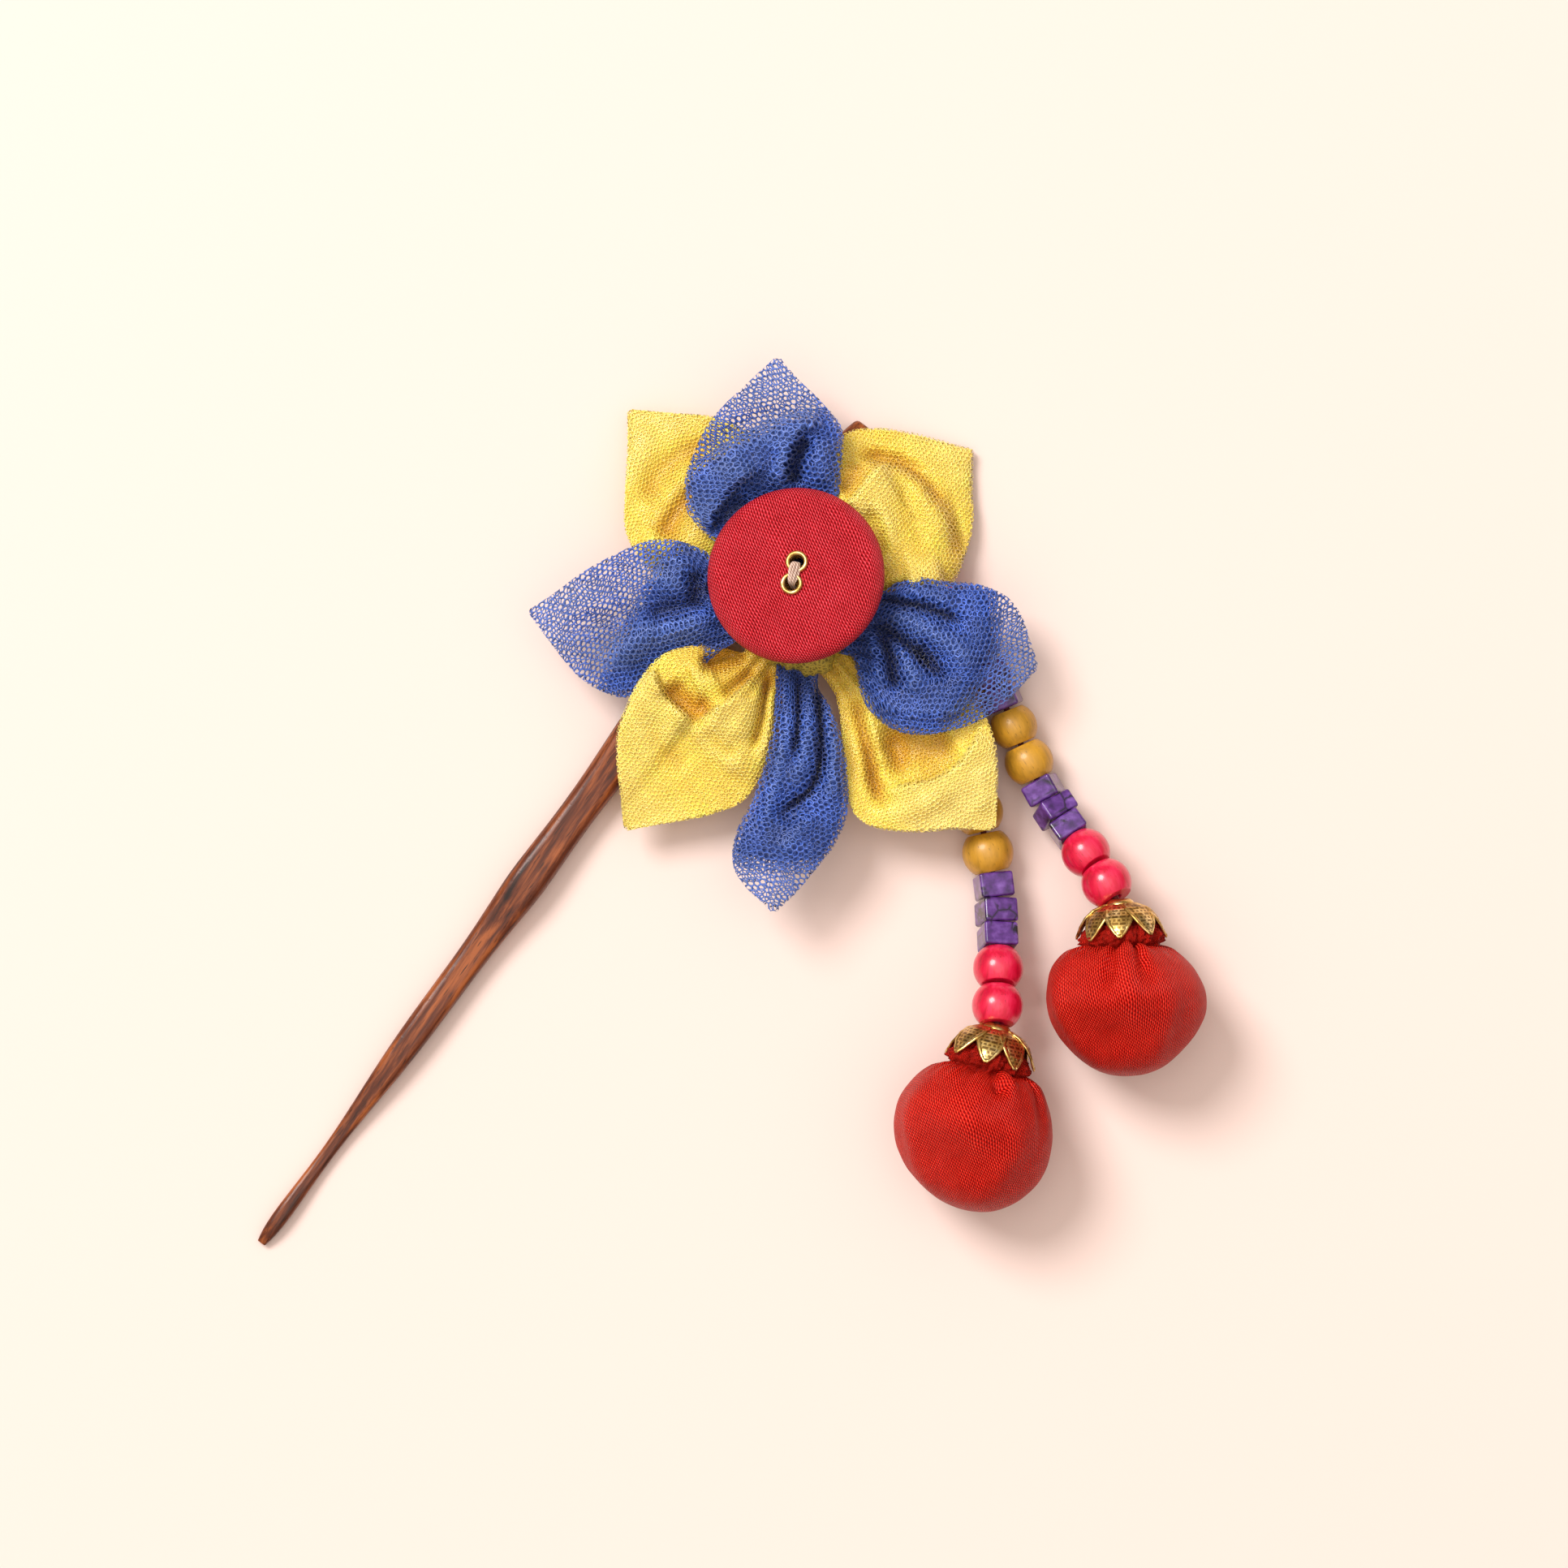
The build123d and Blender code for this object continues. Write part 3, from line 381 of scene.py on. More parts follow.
def crease_height(crease, x, y):
    """The lift of a crease at places on the page."""
    points = np.array(crease.points, float)
    pieces = np.hypot(*np.diff(points, axis=0).T)
    starts = np.concatenate([[0], np.cumsum(pieces)])
    nearest = np.full(np.shape(x), 1e9)
    place = np.zeros(np.shape(x))
    side = np.zeros(np.shape(x))
    for a, b, start, size in zip(points, points[1:], starts, pieces):
        run = (b - a) / size
        t = np.clip((x - a[0]) * run[0] + (y - a[1]) * run[1], 0, size)
        off_x = x - a[0] - t * run[0]
        off_y = y - a[1] - t * run[1]
        away = np.hypot(off_x, off_y)
        closer = away < nearest
        nearest = np.where(closer, away, nearest)
        place = np.where(closer, start + t, place)
        side = np.where(closer, np.sign(run[0] * off_y - run[1] * off_x), side)
    ease = 0.25 * starts[-1]
    ends = soft_step(place / ease + 0.15) * soft_step((starts[-1] - place) / ease + 0.15)
    if crease.lip == 0:
        return crease.height * ends * np.exp(-(nearest**2) / (2 * crease.width**2))
    rim = soft_step(side * nearest / crease.width + 0.5)
    return crease.height * ends * rim * np.exp(-nearest / crease.lip)


def petal_height(petal, along, across, side):
    """Height in mm of the cloth: the front rolls over the bulge and the back lies flat behind it."""
    length = petal.outline[-1][0]
    t = share_across(petal, along, across)
    rise = petal.rise
    flat = through_three(rise.base, rise.belly, rise.tip, along / length)
    flat += rise.lean * across + rise.edge * np.abs(2 * t - 1) ** 3 * soft_step(along / 8)
    front = flat.copy()
    ends = soft_step((length - along) / 5)
    x, y = on_page(petal, along, across)
    for crease in petal.creases:
        front += crease_height(crease, x, y) * ends
    bulge = petal.bulge
    reach = reach_at(petal, t)
    dome = soft_step((reach - along) / (0.75 * bulge.drop) + 0.5) * soft_step((along - bulge.start) / 7)
    front += bulge.height * dome * (1 - 0.6 * np.abs(2 * t - 1) ** 3)
    front += gather_height(petal, along, across)
    back = np.minimum(flat, front - 0.5 * dome - 0.05)
    if side in ("back", "far"):
        return back
    return back + (front - back) * np.sqrt(1 - 0.96 * np.abs(2 * t - 1) ** 10)


def gathering(along):
    """How many times narrower the cloth is drawn together by its stitches at the pad."""
    return 1 + 1.1 * (1 - soft_step(along / 9))


def gather_height(petal, along, across):
    """The small pleats that run out from the stitches."""
    depth = GATHER_DEPTH * (1 - soft_step((along + 3) / 14))
    return depth * np.sin(across * gathering(along) * 2 * pi / GATHER_PITCH + petal.base[2])


def petal_points(petal, along, across, side, lift):
    """Points in metres on a petal, lifted off its surface along the surface's normal."""
    step = 0.12
    steepest = 1.6
    height = petal_height(petal, along, across, side)
    tilts = []
    for run, reach in ((step, 0), (0, step)):
        fall = petal_height(petal, along - run, across - reach, side)
        fall -= petal_height(petal, along + run, across + reach, side)
        tilts.append(np.clip(fall / (2 * step), -steepest, steepest))
    normal = np.stack([*tilts, np.ones(len(along))])
    normal /= np.linalg.norm(normal, axis=0)
    x, y = on_page(petal, along + lift * normal[0], across + lift * normal[1])
    places = np.stack([x, y, height + lift * normal[2]], axis=1)
    return (places + np.array(ORIGIN)) * MM


def wobble(x, y, seed):
    """A slow irregular wave, from -1 to 1."""
    first = np.sin(0.83 * x + 0.47 * y + seed) * np.cos(0.55 * x - 0.91 * y + 1.7 * seed)
    second = np.sin(1.9 * x - 1.3 * y + 2.3 * seed) * np.cos(1.1 * x + 2.2 * y - seed)
    return 0.65 * first + 0.35 * second


def coordinates(mesh):
    places = np.empty(len(mesh.vertices) * 3)
    mesh.vertices.foreach_get("co", places)
    return places.reshape(-1, 3)


def set_coordinates(mesh, places):
    mesh.vertices.foreach_set("co", np.ascontiguousarray(places, dtype=np.float32).ravel())
    mesh.update()


def smooth(mesh):
    mesh.polygons.foreach_set("use_smooth", [True] * len(mesh.polygons))


def add_piece(name, mesh, replaced=()):
    """Puts a finished mesh in the scene as a piece of the object."""
    smooth(mesh)
    piece = bpy.data.objects.new(name, mesh)
    bpy.context.scene.collection.objects.link(piece)
    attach(piece, BODY)
    if replaced:
        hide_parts(*replaced)
    return piece


def mesh_from(bm, name):
    bmesh.ops.recalc_face_normals(bm, faces=bm.faces)
    mesh = bpy.data.meshes.new(name)
    bm.to_mesh(mesh)
    bm.free()
    return mesh


def spun(profile, steps, ring=False):
    """A solid of revolution about Z from a profile of (radius, height), which may be a closed ring."""
    bm = bmesh.new()
    corners = [bm.verts.new((radius, 0, height)) for radius, height in profile]
    ends = corners[1:] + corners[:1] if ring else corners[1:]
    edges = [bm.edges.new(pair) for pair in zip(corners, ends)]
    turning = {"cent": (0, 0, 0), "axis": (0, 0, 1), "dvec": (0, 0, 0), "angle": 2 * pi}
    bmesh.ops.spin(bm, geom=corners + edges, steps=steps, use_merge=True, **turning)
    bmesh.ops.remove_doubles(bm, verts=bm.verts, dist=1e-5)
    return bm


def refined(profile):
    """The same profile with two more points between each pair."""
    fine = []
    for (r1, z1), (r2, z2) in zip(profile, profile[1:]):
        fine += [(r1 + (r2 - r1) * k / 3, z1 + (z2 - z1) * k / 3) for k in range(3)]
    return fine + [profile[-1]]


def settle(bm, place):
    """Moves a shape in mm to its place on the page, and makes it metres."""
    bmesh.ops.translate(bm, verts=bm.verts, vec=place + ORIGIN)
    bmesh.ops.scale(bm, verts=bm.verts, vec=(MM, MM, MM))


def lay_out(mesh, flat):
    """Stores each vertex's place in mm on the flat cloth as the mesh's UV coordinates."""
    corners = np.empty(len(mesh.loops), dtype=np.int32)
    mesh.loops.foreach_get("vertex_index", corners)
    cloth = mesh.uv_layers.new(name="Cloth")
    cloth.uv.foreach_set("vector", flat[corners].astype(np.float32).ravel())


def hexagon_net(cell, reach):
    """A flat net of hexagons with its cells' middles this far apart, as a bmesh of plain faces."""
    side = cell / sqrt(3)
    columns = 2 * int(reach / cell)
    rows = 2 * int(reach / (3 * side))
    bm = bmesh.new()
    bmesh.ops.create_grid(bm, x_segments=columns, y_segments=rows, size=0.5)
    placed = {}
    for vertex in bm.verts:
        placed[vertex] = (round((vertex.co.x + 0.5) * columns), round((vertex.co.y + 0.5) * rows))
    crossing = []
    for edge in bm.edges:
        (i, j), (k, m) = placed[edge.verts[0]], placed[edge.verts[1]]
        if i == k and 0 < i < columns and (i + min(j, m)) % 2 == 1:
            crossing.append(edge)
    for vertex, (i, j) in placed.items():
        vertex.co.x = (i - columns / 2) * cell / 2
        vertex.co.y = (j - rows / 2) * 1.5 * side + (side / 4 if (i + j) % 2 == 0 else -side / 4)
    bmesh.ops.dissolve_edges(bm, edges=crossing)
    return bm


def face_middles(bm):
    return np.array([face.calc_center_median()[:] for face in bm.faces])


def limits_of(petal, along, across, side):
    """The nearest and farthest places along a petal that a layer of its cloth covers."""
    length = petal.outline[-1][0]
    reach = reach_at(petal, share_across(petal, along, across))
    nearest = reach - 2.5 if side == "far" else np.full(len(along), STITCHED_END)
    farthest = reach + 0.4 * petal.bulge.drop if side == "front" else np.full(len(along), length)
    return nearest, np.minimum(farthest, length)


def net_layer(petal, layer, cell, strand, seed):
    """One layer of net on a petal: closed strands of a diamond section, drawn tight along its outline."""
    length = petal.outline[-1][0]
    bm = hexagon_net(cell, 1.35 * length)
    bmesh.ops.scale(bm, verts=bm.verts, vec=(layer.stretch, 1 / layer.stretch, 1))
    bmesh.ops.rotate(bm, verts=bm.verts, cent=(0, 0, 0), matrix=Matrix.Rotation(radians(layer.turn), 3, "Z"))
    bmesh.ops.translate(bm, verts=bm.verts, vec=(length / 2, 0, 0))
    middles = face_middles(bm)
    along = middles[:, 0]
    across = middles[:, 1] / gathering(along)
    left, right = edges_of(petal, along)
    nearest, farthest = limits_of(petal, along, across, layer.side)
    margin = 0.45 * cell
    kept = (across < left + margin) & (across > right - margin)
    kept &= (along > nearest) & (along < farthest + margin)
    cut = [face for face, keep in zip(bm.faces, kept) if not keep]
    bmesh.ops.delete(bm, geom=cut, context="FACES")
    ridges = [vertex for vertex in bm.verts if not vertex.is_boundary]
    cells = bm.faces[:]
    bmesh.ops.inset_individual(bm, faces=cells, thickness=strand / 2, depth=0, use_even_offset=True)
    bmesh.ops.delete(bm, geom=cells, context="FACES_ONLY")
    bmesh.ops.translate(bm, verts=ridges, vec=(0, 0, RIDGE_SHARE * strand))
    upper = bm.verts[:] + bm.edges[:] + bm.faces[:]
    copied = bmesh.ops.duplicate(bm, geom=upper)["geom"]
    lower = [item for item in copied if isinstance(item, bmesh.types.BMVert)]
    bmesh.ops.scale(bm, verts=lower, vec=(1, 1, -1))
    turned_over = [item for item in copied if isinstance(item, bmesh.types.BMFace)]
    bmesh.ops.reverse_faces(bm, faces=turned_over)
    bmesh.ops.remove_doubles(bm, verts=bm.verts, dist=1e-4)
    mesh = mesh_from(bm, "net layer")
    places = coordinates(mesh)
    flat = places.copy()
    for axis in (0, 1):
        places[:, axis] += 0.11 * wobble(2.3 * flat[:, 0], 2.3 * flat[:, 1], seed + 5 * axis)
        places[:, axis] += 0.55 * wobble(0.42 * flat[:, 0], 0.42 * flat[:, 1], seed + 5 * axis + 2)
    along = places[:, 0]
    across = places[:, 1] / gathering(along)
    along = np.minimum(along, limits_of(petal, along, across, layer.side)[1])
    left, right = edges_of(petal, along)
    across = np.clip(across, right, left)
    lift = layer.lift + places[:, 2] + 0.1 * wobble(flat[:, 0], flat[:, 1], seed + 9)
    set_coordinates(mesh, petal_points(petal, along, across, layer.side, lift))
    return mesh


def mark_packing_and_fold_shade(mesh, petal):
    """Marks each place's tone: deeper where the net is packed at the pad, paler where it is single towards
    the tips, and deeper in the creases' valleys and paler on their ridges as painted shade and painted light.
    """
    places = coordinates(mesh) / MM - np.array(ORIGIN)
    x, y = places[:, 0], places[:, 1]
    relief = sum(crease_height(crease, x, y) for crease in petal.creases)
    base_x, base_y, heading = petal.base
    run = (x - base_x) * cos(radians(heading)) + (y - base_y) * sin(radians(heading))
    outer = soft_step((run / petal.outline[-1][0] - 0.6) / 0.35)
    # The creases' relief darkens the valleys and lightens the ridges: painted shade and painted light.
    depth = 0.5 - 0.17 * np.minimum(relief, 1.5) - 0.26 * outer + 0.25 * (1 - soft_step(run / 9))
    marks = mesh.attributes.new("Depth", "FLOAT", "POINT")
    marks.data.foreach_set("value", np.clip(depth, 0, 1).astype(np.float32))


def lining(petal, whole):
    """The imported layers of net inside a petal, as one thin sheet in metres."""
    bm = bmesh.new()
    bmesh.ops.create_grid(bm, x_segments=84, y_segments=60, size=0.5)
    sheet = bmesh.ops.extrude_face_region(bm, geom=bm.faces[:])["geom"]
    under = [item for item in sheet if isinstance(item, bmesh.types.BMVert)]
    bmesh.ops.translate(bm, verts=under, vec=(0, 0, -LINING_THICKNESS))
    mesh = mesh_from(bm, "lining")
    places = coordinates(mesh)
    length = petal.outline[-1][0]
    s = places[:, 0] + 0.5
    t = places[:, 1] + 0.5
    end = reach_at(petal, t) + 0.1 * petal.bulge.drop
    if whole:
        end = np.full(len(t), length - 0.3)
    along = -3 + (end + 3) * s
    left, right = edges_of(petal, along)
    margin = np.minimum(0.22 if whole else 0.7, 0.3 * (left - right))
    across = right + margin + (left - right - 2 * margin) * t
    sheet_points = petal_points(petal, along, across, "front", np.full(len(t), -0.16 if whole else -0.35))
    sheet_points[:, 2] += places[:, 2] * MM
    set_coordinates(mesh, sheet_points)
    return mesh


def joined(meshes, name):
    """One mesh of several: the net layers use the first material slot and the lining the second."""
    bm = bmesh.new()
    for number, mesh in enumerate(meshes):
        start = len(bm.faces)
        bm.from_mesh(mesh)
        bm.faces.ensure_lookup_table()
        for face in bm.faces[start:]:
            face.material_index = 1 if mesh.name.startswith("lining") else 0
        bpy.data.meshes.remove(mesh)
    mesh = bpy.data.meshes.new(name)
    bm.to_mesh(mesh)
    bm.free()
    return mesh


def area_of(mesh):
    areas = np.empty(len(mesh.polygons))
    mesh.polygons.foreach_get("area", areas)
    return float(areas.sum())


def button_frame():
    """The place of the button's face in the frame, in metres."""
    lean = radians(BUTTON_LEAN)
    towards = radians(BUTTON_LEAN_TOWARDS)
    normal = Vector((sin(lean) * cos(towards), sin(lean) * sin(towards), cos(lean)))
    side = (Vector((1, 0, 0)) - normal * normal.x).normalized()
    turn = Matrix((side, normal.cross(side), normal)).transposed().to_4x4()
    return Matrix.Translation((BUTTON_FACE + ORIGIN) * MM) @ turn @ Matrix.Scale(MM, 4)


def eyelet_places():
    turn = radians(EYELET_TURN)
    half = EYELET_APART / 2
    return [(half * cos(turn), half * sin(turn)), (-half * cos(turn), -half * sin(turn))]


def button_mesh():
    """The covered shell: a flat cloth face, a full rounded rim, and the cloth's edge tucked into the back."""
    profile = [(0, 0)]
    profile += [(radius, -0.25 * (radius / 11.9) ** 4) for radius in np.linspace(0.6, 11.9, 20)]
    for angle in np.linspace(80, 0, 10):
        profile.append((11.9 + 2.1 * cos(radians(angle)), -2.1 + 1.85 * sin(radians(angle))))
    profile += [(14.0, -2.5), (13.9, -2.95), (13.6, -3.5), (13.1, -4.1), (12.4, -4.6), (11.7, -4.8)]
    profile += [(10.8, -4.8), (10.3, -4.5), (10.1, -3.6), (9.9, -2.9), (6.0, -2.8), (0, -2.8)]
    bm = spun(profile, 144)
    holes = eyelet_places()
    for vertex in bm.verts:
        place = vertex.co
        radius = sqrt(place.x**2 + place.y**2)
        around = Vector((place.x, place.y)).angle_signed(Vector((1, 0)), 0) if radius > 0 else 0
        if place.z > -1:
            for x, y in holes:
                away = (place.x - x) ** 2 + (place.y - y) ** 2
                place.z -= 0.22 * np.exp(-away / 3.2)
            place.z += 0.05 * noise.noise(Vector((place.x * 0.22, place.y * 0.22, 3.0)))
        if place.z < -3 and radius > 10.5:
            tuck = min((-3 - place.z) / 1.2, 1)
            place.z += 0.16 * tuck * sin(26 * around)
            place.x *= 1 + 0.006 * tuck * sin(26 * around + 1)
            place.y *= 1 + 0.006 * tuck * sin(26 * around + 1)
    mesh = mesh_from(bm, "button_cover")
    body = bpy.data.objects.new("shell to drill", mesh)
    bpy.context.scene.collection.objects.link(body)
    drills = []
    for x, y in holes:
        drill = spun([(0, 1), (1.42, 1), (1.42, -6), (0, -6)], 40)
        bmesh.ops.translate(drill, verts=drill.verts, vec=(x, y, 0))
        drills.append(bpy.data.objects.new("drill", mesh_from(drill, "drill")))
        bpy.context.scene.collection.objects.link(drills[-1])
        cut = body.modifiers.new("hole", "BOOLEAN")
        cut.operation = "DIFFERENCE"
        cut.solver = "EXACT"
        cut.object = drills[-1]
    graph = bpy.context.evaluated_depsgraph_get()
    drilled = bpy.data.meshes.new_from_object(body.evaluated_get(graph))
    for item in (body, *drills):
        bpy.data.objects.remove(item)
    places = coordinates(drilled)
    radius = np.hypot(places[:, 0], places[:, 1])
    stretch = 1 + np.maximum(-places[:, 2] - 0.25, 0) / np.maximum(radius, 0.1)
    lay_out(drilled, places[:, :2] * stretch[:, None])
    drilled.transform(button_frame())
    drilled.name = "button_cover"
    return drilled


def eyelet_mesh(place):
    """A thin brass eyelet whose rim is rolled over the cloth."""
    profile = []
    for angle in np.linspace(-70, 180, 14):
        profile.append((1.44 + 0.36 * cos(radians(angle)), 0.14 + 0.38 * sin(radians(angle))))
    profile += [(1.08, -0.3), (1.08, -2.6), (1.3, -2.6), (1.34, -0.3)]
    bm = spun(profile, 56, ring=True)
    for vertex in bm.verts:
        vertex.co.z += 0.03 * noise.noise(vertex.co * 1.3)
    bmesh.ops.translate(bm, verts=bm.verts, vec=(place[0], place[1], 0.05))
    bmesh.ops.transform(bm, matrix=button_frame(), verts=bm.verts)
    return mesh_from(bm, "eyelet")


def tube_mesh(points, radius, name, resolution=4):
    """A round thread through smooth points, as a mesh with closed ends."""
    curve = bpy.data.curves.new(name, "CURVE")
    curve.dimensions = "3D"
    curve.bevel_depth = radius
    curve.bevel_resolution = resolution
    curve.resolution_u = 5
    curve.use_fill_caps = True
    spline = curve.splines.new("NURBS")
    spline.points.add(len(points) - 1)
    for point, place in zip(spline.points, points):
        point.co = (*place, 1)
    spline.order_u = 3
    spline.use_endpoint_u = True
    carrier = bpy.data.objects.new(name, curve)
    mesh = bpy.data.meshes.new_from_object(carrier)
    bpy.data.objects.remove(carrier)
    bpy.data.curves.remove(curve)
    return mesh


def sewing_thread_mesh():
    """A bundle of fine threads that passes over the bar between the eyelets."""
    (ax, ay), (bx, by) = eyelet_places()
    bm = bmesh.new()
    side = Vector((ay - by, bx - ax)).normalized()
    narrow = 0.55
    middle_number = (SEWING_THREADS - 1) / 2
    for number in range(SEWING_THREADS):
        ring = number % 3
        off = number - middle_number
        shift = off * 0.17
        high = 0.72 + 0.22 * (1 - (off / 4.5) ** 2) + 0.1 * sin(2.4 * number)
        points = []
        rows = [(1.02, -3.4, narrow), (1.0, -1.6, narrow), (0.98, -0.3, narrow), (0.82, high * 0.8, 0.8)]
        rows += [(0.35, high, 1.05), (-0.35, high, 1.05), (-0.82, high * 0.8, 0.8)]
        rows += [(-0.98, -0.3, narrow), (-1.0, -1.6, narrow), (-1.02, -3.4, narrow)]
        for share, height, spread in rows:
            middle = Vector(((ax + bx) / 2 + (ax - bx) / 2 * share, (ay + by) / 2 + (ay - by) / 2 * share))
            across = middle + side * shift * spread * (1 + 0.15 * sin(share * 3 + number))
            lower = -0.18 * ring if height > 0 else 0
            points.append((across.x, across.y, height + lower))
        bm.from_mesh(tube_mesh(points, 0.15, "strand"))
    bmesh.ops.transform(bm, matrix=button_frame(), verts=bm.verts)
    return mesh_from(bm, "button_sewing_thread")


def core_mesh():
    """The gathered end of the net under the button, with its pleats and one lump that shows below the rim."""
    profile = [(0, 0), (5.0, 0), (7.0, 0.6), (7.9, 2.0), (8.1, 3.8), (7.9, 5.6), (7.0, 7.4), (5.2, 8.8)]
    profile += [(3.0, 9.6), (1.2, 9.9), (0, 10.0)]
    bm = spun(refined(profile), 180)
    for vertex in bm.verts:
        place = vertex.co
        radius = sqrt(place.x**2 + place.y**2)
        if radius < 0.01:
            continue
        around = np.arctan2(place.y, place.x)
        ruck = 0.35 * sin(17 * around + 1.1 * sin(3 * around)) + 0.16 * sin(41 * around + place.z)
        grow = 1 + ruck / 8 * min(radius / 4, 1)
        lump = np.exp(-((((around + radians(68)) + pi) % (2 * pi) - pi) ** 2) / 0.09) * min(place.z / 4, 1)
        grow += 0.17 * lump * min(radius / 6, 1)
        place.x *= grow
        place.y *= grow
        place.z += 1.0 * lump * (radius / 8)
    settle(bm, CORE_FOOT)
    return mesh_from(bm, "flower_gathers")


def tassel_frame(tassel):
    """Unit vectors of a ball: along its axis to the cap, to its side and up."""
    axis = (tassel.start - tassel.centre).normalized()
    side = Vector((axis.y, -axis.x, 0)).normalized()
    up = axis.cross(side).normalized()
    if up.z < 0:
        up = -up
    return axis, side, up


def ball_mesh(name, tassel):
    """A stuffed ball of woven cloth, drawn into pleats under the cap, with its frayed ends inside the cap."""
    axis, side, up = tassel_frame(tassel)
    around_steps = 150
    rows = 96
    bm = bmesh.new()
    bmesh.ops.create_grid(bm, x_segments=around_steps, y_segments=rows, size=0.5)
    mesh = bpy.data.meshes.new(name)
    bm.to_mesh(mesh)
    bm.free()
    grid = coordinates(mesh)
    turn = (grid[:, 0] + 0.5) * 2 * pi
    polar = (0.5 - grid[:, 1]) * pi
    degrees = np.degrees(polar)
    axis, side, up = np.array(axis), np.array(side), np.array(up)
    swing = np.outer(np.cos(turn), side) + np.outer(np.sin(turn), up)
    unit = swing * np.sin(polar)[:, None] + np.outer(np.cos(polar), axis)
    heading = np.degrees(np.arctan2(unit[:, 1], unit[:, 0])) % 360
    angles = np.array([angle for angle, share in tassel.silhouette] * 3, float)
    angles += np.repeat([-360, 0, 360], len(tassel.silhouette))
    shares = np.array([share for angle, share in tassel.silhouette] * 3, float)
    order = np.argsort(angles)
    wide = np.linspace(-12, 12, 7)
    share = sum(np.interp((heading + d), angles[order], shares[order]) for d in wide) / len(wide)
    radius = 1 + (share - 1) * (1 - unit[:, 2] ** 2)
    radius *= 1 - 0.1 * soft_step((46 - degrees) / 25)
    near_pole = soft_step((degrees - 8) / 16)
    for pleat in tassel.pleats:
        off = np.abs((np.degrees(turn) - pleat.angle - 0.12 * (degrees - 40) + 180) % 360 - 180)
        fade = soft_step((pleat.reach - degrees) / 40) * near_pole
        radius -= pleat.depth * fade * np.exp(-((off / pleat.width) ** 2) / 2)
    for count, depth, reach in ((23, 0.018, 62), (37, 0.010, 48)):
        fade = soft_step((reach - degrees) / 30) * near_pole
        radius += depth * np.sin(count * turn + 2 * np.sin(3 * turn)) * fade
    for dent in tassel.dents:
        off = ((np.degrees(turn) - dent.angle + 180) % 360 - 180) * np.sin(polar)
        away = (off / dent.wide) ** 2 + ((degrees - dent.polar) / dent.long) ** 2
        radius -= dent.depth * np.exp(-away / 2)
    radius += 0.006 * wobble(6 * unit[:, 0] + 2, 6 * unit[:, 1] + 3 * unit[:, 2], 2.0)
    places = np.array(tassel.centre) + unit * (radius * BALL_RADIUS)[:, None]
    arc = np.arccos(np.clip(unit[:, 2], -1, 1)) * BALL_RADIUS
    flat = unit[:, :2] * (arc / np.maximum(np.hypot(unit[:, 0], unit[:, 1]), 1e-4))[:, None]
    set_coordinates(mesh, (places + np.array(ORIGIN)) * MM)
    lay_out(mesh, flat)
    bm = bmesh.new()
    bm.from_mesh(mesh)
    bmesh.ops.remove_doubles(bm, verts=bm.verts, dist=2e-6)
    bm.from_mesh(ruffle_mesh(tassel))
    bmesh.ops.recalc_face_normals(bm, faces=bm.faces)
    bm.to_mesh(mesh)
    bm.free()
    return mesh


def ruffle_mesh(tassel):
    """The cut ends of the cloth, frilled out inside the cap."""
    axis, side, up = tassel_frame(tassel)
    reach = (tassel.start - tassel.centre).length
    rows = [(0.0, 1.2), (1.6, 1.3), (3.2, 1.8), (4.6, 2.8), (5.7, 3.9), (6.3, 5.0), (6.2, 5.8), (5.5, 6.4)]
    rows += [(5.3, 7.4), (5.6, 8.6), (4.0, 9.0), (0.0, 9.2)]
    profile = [(radius, reach - down) for radius, down in rows]
    bm = spun(refined(profile), 168)
    for vertex in bm.verts:
        place = vertex.co
        radius = sqrt(place.x**2 + place.y**2)
        around = np.arctan2(place.y, place.x)
        frill = 0.34 * sin(14 * around + 1.3 * sin(2 * around)) + 0.2 * sin(33 * around + 2 * place.z)
        fray = 0.75 * noise.noise(Vector((place.x, place.y, place.z)) * 2.1)
        fray += 0.45 * noise.noise(Vector((place.x, place.y, place.z)) * 5.3)
        grow = 1 + (frill + fray) / 5.5 * min(radius / 3.5, 1)
        place.x *= grow
        place.y *= grow
    turn = Matrix((side, up, axis)).transposed().to_4x4()
    if turn.determinant() < 0:
        bmesh.ops.reverse_faces(bm, faces=bm.faces)
    bmesh.ops.transform(bm, matrix=turn, verts=bm.verts)
    settle(bm, tassel.centre)
    mesh = mesh_from(bm, "ruffle")
    mesh.uv_layers.new(name="Cloth")
    return mesh


def cap_radius(down):
    """The outside radius of a cap at a depth below its top."""
    return np.interp(down, [0, 0.15, 0.9, 2.1, 3.5, 5.6], [0.9, 2.6, 4.3, 5.5, 6.2, 6.7])


